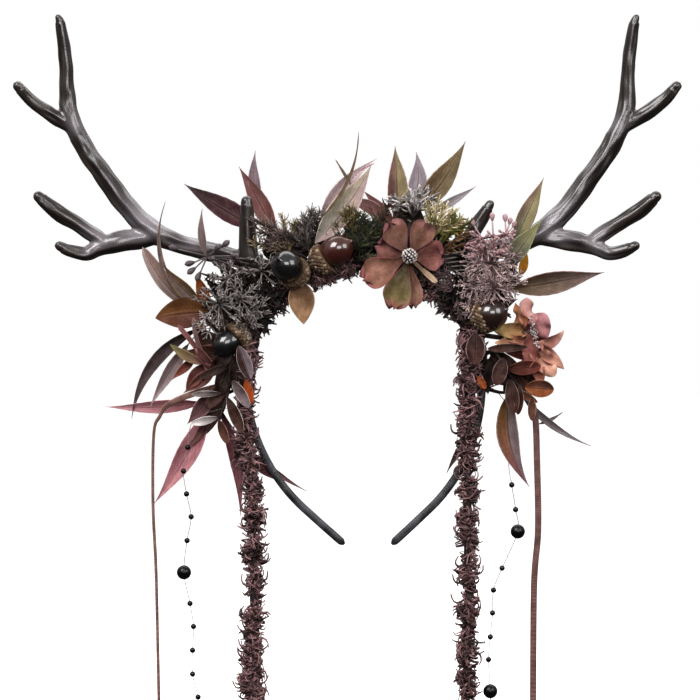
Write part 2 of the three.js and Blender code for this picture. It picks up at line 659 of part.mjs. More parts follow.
function beadString({ lead, beads }, grow) {
  const end = beads.at(-1);
  const points = [...lead, ...beads, [end[0], end[1], HANG_END_Z]];
  const thread = limb(points.map(([x, y, z]) => [x, y, z, THREAD_RADIUS]), STEM_SIDES, points.length - 1, grow);
  return fuse([thread, ...beads.map(([x, y, z, radius]) => ball(vec(x, y, z), radius, radius > 2 ? 8 : 5, grow))]);
}

const group = new THREE.Group();
const placed = [];

// Adds a piece, cut back wherever it would come nearer than the gap to a piece that is there already.
function place(name, colour, { roughness = 0.8, metalness = 0 }, build) {
  const whole = placed.reduce((left, other) => left.subtract(other), build(0));
  const body = whole.decompose().reduce((most, part) => (part.volume() > most.volume() ? part : most));
  placed.push(build(GAP));
  const { vertProperties, triVerts } = body.getMesh();
  const geometry = new THREE.BufferGeometry();
  geometry.setAttribute("position", new THREE.BufferAttribute(vertProperties, 3));
  geometry.setIndex(new THREE.BufferAttribute(triVerts, 1));
  geometry.computeVertexNormals();
  const mesh = new THREE.Mesh(geometry, new THREE.MeshStandardMaterial({ color: colour, roughness, metalness }));
  mesh.name = name;
  group.add(mesh);
}

const CLOTH = { roughness: 0.85 };
const PLASTIC = { roughness: 0.3 };

place("headband", "#1b1b1e", { roughness: 0.45 }, headband);
place("band_wrap", "#3f2d2b", CLOTH, bandWrap);
place("antler_left", "#2a1d1b", PLASTIC, (grow) => antler(-1, BROW_TINE_LEFT, grow));
place("antler_right", "#2a1d1b", PLASTIC, (grow) => antler(1, BROW_TINE_RIGHT, grow));
place("fringe_trail_left", "#503737", CLOTH, (grow) => trail(TRAIL_LEFT, grow));
place("fringe_trail_right", "#503737", CLOTH, (grow) => trail(TRAIL_RIGHT, grow));
for (const row of ACORNS) {
  place(`${row.name}_nut`, row.nut, PLASTIC, (grow) => nut(row, grow));
  place(`${row.name}_cap`, "#8a7159", CLOTH, (grow) => cap(row, grow));
}
for (const row of FLOWERS) {
  place(`${row.name}_heart`, "#b9b4ae", { roughness: 0.35 }, (grow) => heart(row, grow));
  place(`${row.name}_petals`, "#8c6a63", CLOTH, (grow) => petals(row, grow));
}
place("ribbon_left", "#78524b", CLOTH, (grow) => ribbon(RIBBON_LEFT, grow));
place("ribbon_right", "#78524b", CLOTH, (grow) => ribbon(RIBBON_RIGHT, grow));
place("bead_string_left", "#121213", { roughness: 0.15 }, (grow) => beadString(STRING_LEFT, grow));
place("bead_string_right", "#121213", { roughness: 0.15 }, (grow) => beadString(STRING_RIGHT, grow));
for (const row of SPRAYS) place(row.name, row.colour, CLOTH, (grow) => spray(row, grow));
for (const row of UMBELS) place(row.name, row.colour, CLOTH, (grow) => umbel(row, grow));
for (const row of BUD_SPRAYS) place(row.name, row.colour, CLOTH, (grow) => budSpray(row, grow));
for (const row of SPRIGS) place(row.name, row.colour, CLOTH, (grow) => sprig(row, grow));

export default group;
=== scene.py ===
import math
import bmesh
import bpy
import numpy as np
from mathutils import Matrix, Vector


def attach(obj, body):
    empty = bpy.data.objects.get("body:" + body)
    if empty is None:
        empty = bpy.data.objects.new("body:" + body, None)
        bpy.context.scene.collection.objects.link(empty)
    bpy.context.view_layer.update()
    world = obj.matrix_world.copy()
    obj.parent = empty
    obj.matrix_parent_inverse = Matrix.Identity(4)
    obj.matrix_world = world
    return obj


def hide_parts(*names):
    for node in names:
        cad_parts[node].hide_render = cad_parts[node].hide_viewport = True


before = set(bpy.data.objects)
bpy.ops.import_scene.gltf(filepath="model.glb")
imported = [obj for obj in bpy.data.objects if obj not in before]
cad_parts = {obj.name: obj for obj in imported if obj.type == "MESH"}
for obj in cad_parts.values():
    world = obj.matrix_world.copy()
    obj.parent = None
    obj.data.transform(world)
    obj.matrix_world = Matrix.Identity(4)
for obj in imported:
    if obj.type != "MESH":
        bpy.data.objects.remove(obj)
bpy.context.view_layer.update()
mm = 0.001
goldenTurn = math.pi * (3 - math.sqrt(5))

# small helpers: vectors, colours, lines


def unit(v):
    v = np.asarray(v, float)
    return v / np.maximum(np.linalg.norm(v, axis=-1, keepdims=True), 1e-9)


def colour(code):  # sRGB hex to a linear colour
    channels = [int(code[i:i + 2], 16) / 255 for i in (1, 3, 5)]
    return tuple(c / 12.92 if c <= 0.04045 else ((c + 0.055) / 1.055) ** 2.4 for c in channels) + (1.0,)


def colours(codes, lift=1.0):  # a row of hex codes, made lighter by lift
    return [np.array(colour(code)) * lift for code in codes.split()]


def smoothLine(rows, count):  # even steps on a smooth line through the rows, any number of columns
    rows = np.asarray(rows, float)
    ends = np.vstack([2 * rows[0] - rows[1], rows, 2 * rows[-1] - rows[-2]])
    t = np.linspace(0, len(rows) - 1, count)
    i = np.minimum(t.astype(int), len(rows) - 2)
    u = (t - i)[:, None]
    a, b, c, d = ends[i], ends[i + 1], ends[i + 2], ends[i + 3]
    square, cube = 2 * a - 5 * b + 4 * c - d, 3 * b - a - 3 * c + d
    return 0.5 * (2 * b + (c - a) * u + square * u ** 2 + cube * u ** 3)


def bentLine(first, control, last, t):  # bends once, towards its control point
    return ((1 - t) ** 2)[:, None] * first + (2 * t * (1 - t))[:, None] * control + (t ** 2)[:, None] * last


def lengthsAlong(line):  # from the first point to each point
    return np.append(0, np.cumsum(np.linalg.norm(np.diff(line, axis=0), axis=1)))


def lineFrames(line, facing=(0, -1, 0)):  # along, across and out at each point of a line
    along = unit(np.gradient(line, axis=0))
    facing = np.broadcast_to(np.asarray(facing, float), along.shape)
    across = np.cross(along, facing)
    weak = np.linalg.norm(across, axis=1) < 0.05
    across[weak] = np.cross(along[weak], (1.0, 0.0, 0.0))
    across = unit(across)
    return along, across, np.cross(across, along)


def turnAbout(v, axis, degrees):
    angle, axis = math.radians(degrees), unit(axis)
    inLine = axis * np.dot(axis, v) * (1 - math.cos(angle))
    return v * math.cos(angle) + np.cross(axis, v) * math.sin(angle) + inLine


def circle(sides):  # even angles round a ring
    return np.linspace(0, 2 * math.pi, sides, endpoint=False)


def squared(c):  # draws the sine or cosine of a circle out towards a square
    return np.sign(c) * np.abs(c) ** 0.5


def crossways(axis):  # two directions square to an axis
    side = unit(np.cross(axis, (0.31, 0.2, 0.93)))
    return side, np.cross(axis, side)


def ballDirections(count):  # even directions on a ball
    i = np.arange(count) + 0.5
    z = 1 - 2 * i / count
    turn = i * goldenTurn
    flat = np.sqrt(1 - z * z)
    return np.column_stack([flat * np.cos(turn), flat * np.sin(turn), z])


def ringFaces(rings, sides):  # quads of a tube, then a fan at each end
    faces = []
    for i in range(rings - 1):
        for j in range(sides):
            k = (j + 1) % sides
            faces.append((i * sides + j, (i + 1) * sides + j, (i + 1) * sides + k, i * sides + k))
    first, last = rings * sides, rings * sides + 1
    for j in range(sides):
        k = (j + 1) % sides
        faces.append((first, j, k))
        faces.append((last, (rings - 1) * sides + k, (rings - 1) * sides + j))
    return faces


def keepValues(mesh, label, kind, field, values):  # a named value at each point, for the finishes
    layer = mesh.attributes.new(label, kind, "POINT")
    layer.data.foreach_set(field, np.asarray(values, np.float32).ravel())


class Shape:  # gathers closed shells in millimetres and makes one mesh object of them
    def __init__(self):
        self.points, self.faces, self.finishes = [], [], []
        self.tints, self.rims, self.spots = [], [], []
        self.count = 0

    def add(self, rings, ends, around, along, tint=(1, 1, 1, 1), rim=None, finish=0):
        steps, sides = rings.shape[:2]  # rings of points, closed by two end points
        points, faces = np.vstack([rings.reshape(-1, 3), *ends]), ringFaces(steps, sides)
        rim = tint if rim is None else rim
        self.points.append(points)
        self.faces.extend(tuple(i + self.count for i in face) for face in faces)
        self.finishes.extend([finish] * len(faces))
        self.tints.append(np.broadcast_to(np.asarray(tint, float), (len(points), 4)))
        self.rims.append(np.broadcast_to(np.asarray(rim, float), (len(points), 4)))
        self.spots.append(np.column_stack([np.append(np.tile(around, steps), (0.5, 0.5)),
                                           np.append(np.repeat(along, sides), (0, 1))]))
        self.count += len(points)

    def build(self, name, materials):
        mesh = bpy.data.meshes.new(name)
        mesh.from_pydata((np.vstack(self.points) * mm).tolist(), [], self.faces)
        for material in materials:
            mesh.materials.append(material)
        mesh.polygons.foreach_set("material_index", self.finishes)
        mesh.polygons.foreach_set("use_smooth", [True] * len(self.faces))
        keepValues(mesh, "tint", "FLOAT_COLOR", "color", np.vstack(self.tints))
        keepValues(mesh, "rim", "FLOAT_COLOR", "color", np.vstack(self.rims))
        corners = np.empty(len(mesh.loops), np.int32)
        mesh.loops.foreach_get("vertex_index", corners)
        layer = mesh.uv_layers.new(name="UVMap")
        layer.uv.foreach_set("vector", np.vstack(self.spots)[corners].astype(np.float32).ravel())
        turnOutwards(mesh)
        return linked(name, mesh)


def turnOutwards(mesh):
    work = bmesh.new()
    work.from_mesh(mesh)
    bmesh.ops.recalc_face_normals(work, faces=work.faces)
    work.to_mesh(mesh)
    work.free()


def linked(name, mesh):
    made = bpy.data.objects.new(name, mesh)
    bpy.context.scene.collection.objects.link(made)
    return made


def fade(steps, sides, tint, endTint):  # from one tint at the first ring to another at the last
    share = np.append(np.repeat(np.linspace(0, 1, steps), sides), (0, 1))[:, None]
    return (1 - share) * np.array(colour(tint)) + share * np.array(colour(endTint or tint))


def tube(shape, points, radii, sides=8, steps=20, tint="#ffffff", endTint=None, finish=0):  # a smooth stalk
    line = smoothLine(np.column_stack([points, radii]), steps)
    middle, radius = line[:, :3], np.maximum(line[:, 3], 0.08)
    _, across, out = lineFrames(middle)
    turn = circle(sides)
    ring = across[:, None] * np.cos(turn)[None, :, None] + out[:, None] * np.sin(turn)[None, :, None]
    rings = middle[:, None] + radius[:, None, None] * ring
    shape.add(rings, (middle[0], middle[-1]), turn / (2 * math.pi), np.linspace(0, 1, steps),
              fade(steps, sides, tint, endTint), finish=finish)


def stemTube(shape, points, radii, steps, tint, finish=0):  # thins evenly from one radius to another
    tube(shape, points, np.linspace(*radii, len(points)), steps=steps, tint=tint, finish=finish)


def lathe(shape, profile, at, axis, sides, tint, endTint=None, finish=0):
    profile, at, axis = np.asarray(profile, float), np.asarray(at, float), unit(axis)
    side, other = crossways(axis)
    turn = circle(sides)
    ring = side * np.cos(turn)[:, None] + other * np.sin(turn)[:, None]
    radius, height = np.maximum(profile[:, 0], 0.02), profile[:, 1]  # height from the middle
    rings = at + radius[:, None, None] * ring[None] + (height[:, None] * axis)[:, None]
    steps = len(profile)
    shape.add(rings, (at + height[0] * axis, at + height[-1] * axis), turn / (2 * math.pi),
              np.linspace(0, 1, steps), fade(steps, sides, tint, endTint), finish=finish)


def ball(shape, radius, at, axis, sides, tint, finish=0):
    profile = [(radius * math.sin(a), -radius * math.cos(a)) for a in np.linspace(0, math.pi, 10)]
    lathe(shape, profile, at, axis, sides, tint, finish=finish)


# node helpers, for materials and for Geometry Nodes


def put(tree, kind, inputs=None, **settings):
    node = tree.nodes.new(kind)
    for key, value in settings.items():
        setattr(node, key, value)
    for key, value in (inputs or {}).items():
        if isinstance(value, bpy.types.NodeSocket):
            tree.links.new(value, node.inputs[key])
        else:
            node.inputs[key].default_value = value
    return node


def maths(tree, operation, a, b=0.0):
    return put(tree, "ShaderNodeMath", {0: a, 1: b}, operation=operation).outputs[0]


def times(tree, a, b):
    return maths(tree, "MULTIPLY", a, b)


def plus(tree, a, b):
    return maths(tree, "ADD", a, b)


def minus(tree, a, b):
    return maths(tree, "SUBTRACT", a, b)


def awayFrom(tree, value, middle):  # how far a value is from a middle one
    return maths(tree, "ABSOLUTE", minus(tree, value, middle))


def mixed(tree, factor, a, b, mode="MIX"):
    node = put(tree, "ShaderNodeMix", {0: factor, 6: a, 7: b}, data_type="RGBA", blend_type=mode)
    return node.outputs[2]


def step(tree, value, low, high, toLow=0.0, toHigh=1.0):
    limits = {"Value": value, "From Min": low, "From Max": high, "To Min": toLow, "To Max": toHigh}
    return put(tree, "ShaderNodeMapRange", limits, interpolation_type="SMOOTHSTEP").outputs[0]


def grain(tree, scale, detail=4.0, rough=0.6, place=None):
    if place is None:
        place = put(tree, "ShaderNodeTexCoord").outputs["Object"]
    inputs = {"Vector": place, "Scale": scale, "Detail": detail, "Roughness": rough}
    return put(tree, "ShaderNodeTexNoise", inputs).outputs["Fac"]


def attribute(tree, name, output="Color"):
    return put(tree, "ShaderNodeAttribute", attribute_name=name).outputs[output]


def spotOn(tree):  # across and along the piece, from its UV map
    uv = put(tree, "ShaderNodeUVMap", uv_map="UVMap").outputs[0]
    return put(tree, "ShaderNodeSeparateXYZ", {0: uv}).outputs[:2]


def finishOf(name, **sockets):  # a material with its shader, whose plain values are set on its own sockets
    material = bpy.data.materials.new(name)
    material.use_nodes = True
    shader = material.node_tree.nodes["Principled BSDF"]
    for key, value in sockets.items():
        shader.inputs[key.replace("_", " ")].default_value = value
    return material, material.node_tree, shader.inputs


def wire(tree, inputs, ground, rough, bump=None):  # links a finish to its shader
    tree.links.new(ground, inputs["Base Color"])
    tree.links.new(rough, inputs["Roughness"])
    if bump is not None:
        tree.links.new(bump, inputs["Normal"])


def bumped(tree, height, strength, distance=0.0004):
    inputs = {"Height": height, "Strength": strength, "Distance": distance}
    return put(tree, "ShaderNodeBump", inputs).outputs[0]


# finishes

silk = {
    "veins": 11.0, "veinLean": 3.0, "veinShare": 0.45, "flank": 0.14, "threads": (46.0, 3.5),
    "patches": 150.0, "fine": 1400.0, "dark": (0.42, 0.38, 0.38, 1), "pale": (0.66, 0.52, 0.47, 1),
    "paleShare": 0.16, "rimWidth": 0.14, "rimShare": 0.75,
}


def leafSilk(name, rough, veinDepth, rimFrom, mottle, ribs, gleam):
    material, tree, inputs = finishOf(name, Specular_IOR_Level=gleam)
    across, along = spotOn(tree)
    side = times(tree, awayFrom(tree, across, 0.5), 2.0)
    lean = times(tree, side, silk["veinLean"])
    rows = maths(tree, "FRACT", minus(tree, times(tree, along, silk["veins"]), lean))
    vein = step(tree, awayFrom(tree, rows, 0.5), 0.02, 0.12, 1.0, 0.0)
    rib = step(tree, side, 0.02, 0.09, 1.0, 0.0)
    flank = step(tree, awayFrom(tree, side, silk["flank"]), 0.0, 0.07, 1.0, 0.0)
    threads = [times(tree, way, count) for way, count in zip((across, along), silk["threads"])]
    place = put(tree, "ShaderNodeCombineXYZ", {0: threads[0], 1: threads[1]}).outputs[0]
    streak = grain(tree, 1.0, 3.0, 0.6, place)
    mark = maths(tree, "MAXIMUM", times(tree, vein, silk["veinShare"]), rib)
    patch = grain(tree, silk["patches"], 5.0, 0.65)
    fine = grain(tree, silk["fine"], 3.0)
    tint = attribute(tree, "tint")
    dark = mixed(tree, 1.0, tint, silk["dark"], "MULTIPLY")
    pale = mixed(tree, silk["paleShare"], tint, silk["pale"])
    ground = mixed(tree, step(tree, patch, 0.36, 0.7), dark, pale)
    ground = mixed(tree, mottle, tint, ground)
    ground = mixed(tree, step(tree, streak, 0.42, 0.75, 0.0, 0.55), ground, dark)
    ground = mixed(tree, times(tree, flank, ribs * 0.6), ground, pale)
    ground = mixed(tree, times(tree, mark, ribs), ground, dark)
    edge = step(tree, side, rimFrom, min(rimFrom + silk["rimWidth"], 0.999))
    ground = mixed(tree, times(tree, edge, silk["rimShare"]), ground, attribute(tree, "rim"))
    relief = plus(tree, times(tree, mark, veinDepth), times(tree, fine, 0.3))
    uneven = step(tree, fine, 0.2, 0.8, rough - 0.1, rough + 0.12)
    wire(tree, inputs, ground, uneven, bumped(tree, relief, 0.5))
    return material


def fibre(name, low, high, rough, sheen, tipShare=0.4):  # strands, darker at the root
    material, tree, inputs = finishOf(name, Sheen_Weight=sheen, Sheen_Roughness=0.35)
    shade = attribute(tree, "shade", "Fac")
    tip = attribute(tree, "tip", "Fac")
    patch = grain(tree, 90.0, 3.0)
    light = plus(tree, times(tree, shade, 0.95 - tipShare), times(tree, tip, tipShare))
    light = plus(tree, light, times(tree, minus(tree, patch, 0.5), 0.7))
    ground = mixed(tree, step(tree, light, 0.1, 1.0), colour(low), colour(high))
    uneven = step(tree, grain(tree, 1800.0, 2.0), 0.2, 0.8, rough - 0.1, rough + 0.15)
    wire(tree, inputs, ground, uneven, bumped(tree, grain(tree, 2600.0, 2.0), 0.3))
    return material


def tinted(name, rough, spread, bump, scale, **sockets):  # the piece's own tint with a worn, uneven surface
    material, tree, inputs = finishOf(name, **sockets)
    tint = attribute(tree, "tint")
    dark = mixed(tree, 1.0, tint, (0.4, 0.36, 0.34, 1), "MULTIPLY")
    patch = grain(tree, scale, 5.0, 0.65)
    ground = mixed(tree, step(tree, patch, 0.35, 0.65, spread, 0.0), tint, dark)
    uneven = step(tree, patch, 0.3, 0.75, rough - 0.08, rough + 0.12)
    wire(tree, inputs, ground, uneven, bumped(tree, grain(tree, scale * 6, 4.0), bump))
    return material


def antlerHorn():  # dark moulded horn, with a painted pale reflection on its ridges, round its forks and on faces turned up and to the front, and painted shade in its grooves
    gloss = {"Coat_Weight": 1.0, "Coat_Roughness": 0.2, "Specular_IOR_Level": 0.5}
    material, tree, inputs = finishOf("antlerHorn", **gloss)
    streak = grain(tree, 1.0, 2.0, 0.5, attribute(tree, "course", "Vector"))
    normal = put(tree, "ShaderNodeTexCoord").outputs["Normal"]
    facing = put(tree, "ShaderNodeSeparateXYZ", {0: normal}).outputs
    # painted reflection: the pale colour lies only on faces turned up and to the front
    upwards = minus(tree, times(tree, facing[2], 0.7), times(tree, facing[1], 0.5))
    paintedReflection = times(tree, attribute(tree, "paintedReflection", "Fac"), step(tree, upwards, -0.3, 0.75))
    ground = mixed(tree, step(tree, streak, 0.35, 0.7), colour("#261e1b"), colour("#423833"))
    # painted shade: the grooves are darkened
    groove = times(tree, attribute(tree, "paintedGrooveShade", "Fac"), 0.6)
    ground = mixed(tree, groove, ground, colour("#171210"))
    ground = mixed(tree, paintedReflection, ground, colour("#a39ba1"))
    wire(tree, inputs, ground, step(tree, streak, 0.25, 0.8, 0.3, 0.4))
    return material


def ribbedTape(name, low, high, ribs, rough, relief=0.35):  # woven tape with ribs across its length
    material, tree, inputs = finishOf(name, Sheen_Weight=0.1)
    _, along = spotOn(tree)
    rib = step(tree, maths(tree, "SINE", times(tree, along, ribs * 2 * math.pi)), -0.9, 0.9)
    patch = grain(tree, 120.0, 4.0)
    ground = mixed(tree, step(tree, patch, 0.3, 0.7), colour(low), colour(high))
    ground = mixed(tree, times(tree, rib, relief), ground, colour(low))
    uneven = step(tree, patch, 0.2, 0.8, rough - 0.06, rough + 0.1)
    wire(tree, inputs, ground, uneven, bumped(tree, rib, relief, 0.0003))
    return material


leafFinish = leafSilk("leafSilk", rough=0.58, veinDepth=0.8, rimFrom=0.86, mottle=0.4, ribs=0.75, gleam=0.12)
ovalFinish = leafSilk("ovalLeaf", rough=0.46, veinDepth=0.5, rimFrom=0.87, mottle=0.5, ribs=0.5, gleam=0.06)
petalFinish = leafSilk("petalSilk", rough=0.7, veinDepth=0.2, rimFrom=0.9, mottle=0.6, ribs=0.12, gleam=0.08)
stalkFinish = tinted("dryStalk", rough=0.6, spread=0.6, bump=0.5, scale=260.0)
budFinish = tinted("driedBud", rough=0.5, spread=0.5, bump=0.5, scale=320.0, Sheen_Weight=0.15)
hornFinish = antlerHorn()
print("finishes ready")


# Geometry Nodes: strands along lines, and beads on points


def newTree(name, source, result, sockets):  # a geometry input, named inputs and a geometry output
    tree = bpy.data.node_groups.new(name, "GeometryNodeTree")
    face, names = tree.interface, {}
    face.new_socket(name=source, in_out="INPUT", socket_type="NodeSocketGeometry")
    for label, kind in sockets.items():
        names[label] = face.new_socket(name=label, in_out="INPUT", socket_type="NodeSocket" + kind).identifier
    face.new_socket(name=result, in_out="OUTPUT", socket_type="NodeSocketGeometry")
    return tree, names, put(tree, "NodeGroupInput").outputs


def shadedWhole(tree, placed, shade):  # instances made real, each with its own shade
    inputs = {"Geometry": placed, "Name": "shade", "Value": shade}
    shaded = put(tree, "GeometryNodeStoreNamedAttribute", inputs, domain="INSTANCE").outputs[0]
    return put(tree, "GeometryNodeRealizeInstances", {0: shaded}).outputs[0]


def endTree(tree, whole, finish):
    dressed = put(tree, "GeometryNodeSetMaterial", {"Geometry": whole, "Material": finish}).outputs[0]
    put(tree, "NodeGroupOutput", {0: dressed})


def strandTree():
    tree, names, given = newTree("strandsAlongLines", "Lines", "Strands", {
        "Count": "Int", "Steps": "Int", "Short": "Float", "Long": "Float", "Lean low": "Float",
        "Lean high": "Float", "Thickness": "Float", "Bend": "Float", "Reach": "Float", "Wobble": "Float",
        "Seed": "Int", "Finish": "Material",
    })
    seed = given["Seed"]

    def randomValue(low, high, extra):
        inputs = {2: low, 3: high, 8: plus(tree, seed, float(extra))}
        return put(tree, "FunctionNodeRandomValue", inputs, data_type="FLOAT").outputs[1]

    def vector(x=0.0, y=0.0, z=0.0):
        return put(tree, "ShaderNodeCombineXYZ", {0: x, 1: y, 2: z}).outputs[0]

    curves = put(tree, "GeometryNodeMeshToCurve", {0: given["Lines"]}).outputs[0]
    inputs = {"Curve": curves, "Count": given["Count"]}
    points = put(tree, "GeometryNodeCurveToPoints", inputs, mode="COUNT")

    strands = put(tree, "GeometryNodeJoinGeometry")
    for way, hook in ((1.0, -0.5), (-1.0, 0.4), (0.6, 1.5)):  # three curls to pick from
        bend = times(tree, given["Bend"], way)
        middle, tip = vector(y=bend, z=0.55), vector(y=times(tree, bend, hook), z=given["Reach"])
        inputs = {0: given["Steps"], 1: (0, 0, 0), 2: middle, 3: tip}
        line = put(tree, "GeometryNodeCurveQuadraticBezier", inputs).outputs[0]
        share = put(tree, "GeometryNodeSplineParameter").outputs[0]
        taper = times(tree, given["Thickness"], step(tree, share, 0.2, 1.0, 1.0, 0.5))
        inputs = {"Geometry": line, "Name": "tip", "Value": share}
        kept = put(tree, "GeometryNodeStoreNamedAttribute", inputs).outputs[0]
        ring = put(tree, "GeometryNodeCurvePrimitiveCircle", {"Resolution": 3, "Radius": 1.1}).outputs[0]
        inputs = {"Curve": kept, "Profile Curve": ring, "Scale": taper, "Fill Caps": True}
        swept = put(tree, "GeometryNodeCurveToMesh", inputs).outputs[0]
        one = put(tree, "GeometryNodeGeometryToInstance", {0: swept}).outputs[0]
        tree.links.new(one, strands.inputs[0])

    spin = vector(z=randomValue(0.0, 2 * math.pi, 1))
    lean = vector(x=randomValue(given["Lean low"], given["Lean high"], 2))
    turn = points.outputs["Rotation"]
    for euler in (spin, lean):
        by = put(tree, "FunctionNodeEulerToRotation", {0: euler}).outputs[0]
        turn = put(tree, "FunctionNodeRotateRotation", {0: turn, 1: by}, rotation_space="LOCAL").outputs[0]
    pick = put(tree, "FunctionNodeRandomValue", {4: 0, 5: 2, 8: seed}, data_type="INT").outputs[2]
    placed = put(tree, "GeometryNodeInstanceOnPoints", {
        "Points": points.outputs[0], "Instance": strands.outputs[0], "Pick Instance": True,
        "Instance Index": pick, "Rotation": turn, "Scale": randomValue(given["Short"], given["Long"], 3),
    }).outputs[0]
    whole = shadedWhole(tree, placed, randomValue(0.0, 1.0, 4))
    wave = put(tree, "ShaderNodeTexNoise", {"Scale": 220.0, "Detail": 1.0}).outputs["Color"]
    wave = put(tree, "ShaderNodeVectorMath", {0: wave, 1: (0.5, 0.5, 0.5)}, operation="SUBTRACT").outputs[0]
    inputs = {0: wave, "Scale": given["Wobble"]}
    wave = put(tree, "ShaderNodeVectorMath", inputs, operation="SCALE").outputs[0]
    moved = put(tree, "GeometryNodeSetPosition", {"Geometry": whole, "Offset": wave}).outputs[0]
    endTree(tree, moved, given["Finish"])
    return tree, names


def beadTree():
    tree, names, given = newTree("beadsOnPoints", "Points", "Beads", {
        "Segments": "Int", "Rings": "Int", "Flatness": "Float", "Finish": "Material",
    })
    inputs = {"Segments": given["Segments"], "Rings": given["Rings"], "Radius": 1.0}
    sphere = put(tree, "GeometryNodeMeshUVSphere", inputs).outputs[0]
    named = "GeometryNodeInputNamedAttribute"
    size = put(tree, named, {"Name": "size"}, data_type="FLOAT").outputs[0]
    facing = put(tree, named, {"Name": "facing"}, data_type="FLOAT_VECTOR").outputs[0]
    turn = put(tree, "FunctionNodeAlignRotationToVector", {"Vector": facing}, axis="Z").outputs[0]
    flat = times(tree, size, given["Flatness"])
    scale = put(tree, "ShaderNodeCombineXYZ", {0: size, 1: size, 2: flat}).outputs[0]
    inputs = {"Points": given["Points"], "Instance": sphere, "Rotation": turn, "Scale": scale}
    placed = put(tree, "GeometryNodeInstanceOnPoints", inputs).outputs[0]
    shade = put(tree, "FunctionNodeRandomValue", {2: 0.0, 3: 1.0, 8: 5}, data_type="FLOAT").outputs[1]
    whole = shadedWhole(tree, placed, shade)
    smooth = put(tree, "GeometryNodeSetShadeSmooth", {"Geometry": whole, "Shade Smooth": True}).outputs[0]
    endTree(tree, smooth, given["Finish"])
    return tree, names


strandNodes, strandInputs = strandTree()
beadNodes, beadInputs = beadTree()


def grown(name, mesh, tree, identifiers, values):  # runs a tree on a mesh and keeps the result as a plain one
    holder = linked(name, mesh)
    modifier = holder.modifiers.new("grow", "NODES")
    modifier.node_group = tree
    for label, value in values.items():
        modifier[identifiers[label]] = value
    graph = bpy.context.evaluated_depsgraph_get()
    result = bpy.data.meshes.new_from_object(holder.evaluated_get(graph))
    bpy.data.objects.remove(holder)
    return linked(name, result)


def strandsOn(name, lines, finish, count, steps, lengths, thickness, lean, seed, bend=0.3, reach=1.0,
              wobble=0.6):
    points, edges = [], []
    for line in lines:
        start = len(points)
        points.extend((np.asarray(line, float) * mm).tolist())
        edges.extend((start + i, start + i + 1) for i in range(len(line) - 1))
    mesh = bpy.data.meshes.new(name)
    mesh.from_pydata(points, edges, [])
    return grown(name, mesh, strandNodes, strandInputs, {
        "Count": count, "Steps": steps, "Short": lengths[0] * mm, "Long": lengths[1] * mm,
        "Lean low": lean[0], "Lean high": lean[1], "Thickness": thickness, "Bend": bend, "Reach": reach,
        "Wobble": wobble * mm, "Seed": seed, "Finish": finish,
    })


def beadsOn(name, rows, finish, segments, rings, flatness=1.0, facing=None):
    rows = np.asarray(rows, float)  # x, y, z, radius
    mesh = bpy.data.meshes.new(name)
    mesh.from_pydata((rows[:, :3] * mm).tolist(), [], [])
    facing = np.tile((0.0, 0.0, 1.0), (len(rows), 1)) if facing is None else facing
    keepValues(mesh, "size", "FLOAT", "value", rows[:, 3] * mm)
    keepValues(mesh, "facing", "FLOAT_VECTOR", "vector", facing)
    values = {"Segments": segments, "Rings": rings, "Flatness": flatness, "Finish": finish}
    return grown(name, mesh, beadNodes, beadInputs, values)


def settle(parts, node):  # the parts become one piece, which stands for its CAD node
    bpy.ops.object.select_all(action="DESELECT")
    for part in parts:
        part.select_set(True)
    piece = parts[0]
    bpy.context.view_layer.objects.active = piece
    if len(parts) > 1:
        bpy.ops.object.join()
    piece.name = piece.data.name = "dressed_" + node
    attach(piece, "root")
    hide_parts(node)
    print("made", piece.name, len(piece.data.polygons), "faces")
    return piece


# camera, floor and light

view = {"middle": (-0.0099, -0.0418), "distance": 1.6, "width": 0.385, "sensor": 36.0, "gamma": 0.84}
camera = bpy.data.objects.new("photoCamera", bpy.data.cameras.new("photoCamera"))
camera.data.sensor_width = view["sensor"]
camera.data.lens = view["sensor"] * view["distance"] / view["width"]
camera.location = (view["middle"][0], -view["distance"], view["middle"][1])
camera.rotation_euler = (math.pi / 2, 0, 0)
bpy.context.scene.collection.objects.link(camera)
bpy.context.scene.camera = camera
bpy.context.scene.view_settings.view_transform = "Standard"
bpy.context.scene.view_settings.gamma = view["gamma"]

studio = {
    "floorHeight": -0.27, "floorReach": 12.0, "sky": 1.0, "skyLow": 0.05, "skyHigh": 0.6,
    "aim": (0, 0, -0.03),  # what the lamps point at
}
floorMesh = bpy.data.meshes.new("floor")
reach, low = studio["floorReach"], studio["floorHeight"]
corners = [(-reach, -reach, low), (reach, -reach, low), (reach, reach, low), (-reach, reach, low)]
floorMesh.from_pydata(corners, [], [(0, 1, 2, 3)])
floor = linked("floor", floorMesh)
floorFinish, _, _ = finishOf("paleFloor", Base_Color=(0.9, 0.9, 0.9, 1), Roughness=0.8,
                             Emission_Color=(1, 1, 1, 1), Emission_Strength=0.6)
floorMesh.materials.append(floorFinish)
floor.visible_glossy = False
floor.visible_diffuse = False

world = bpy.data.worlds.new("studioSky")
bpy.context.scene.world = world
world.use_nodes = True
sky = world.node_tree
ray = put(sky, "ShaderNodeLightPath").outputs["Is Camera Ray"]
upwards = put(sky, "ShaderNodeTexCoord").outputs["Generated"]
height = put(sky, "ShaderNodeSeparateXYZ", {0: upwards}).outputs[2]
onObject = step(sky, height, -0.25, 0.6, studio["skyLow"], studio["skyHigh"])  # brighter overhead
inputs = {0: ray, 2: onObject, 3: studio["sky"]}
strength = put(sky, "ShaderNodeMix", inputs, data_type="FLOAT").outputs[0]
sky.links.new(strength, sky.nodes["Background"].inputs["Strength"])
sky.nodes["Background"].inputs["Color"].default_value = (1, 1, 1, 1)

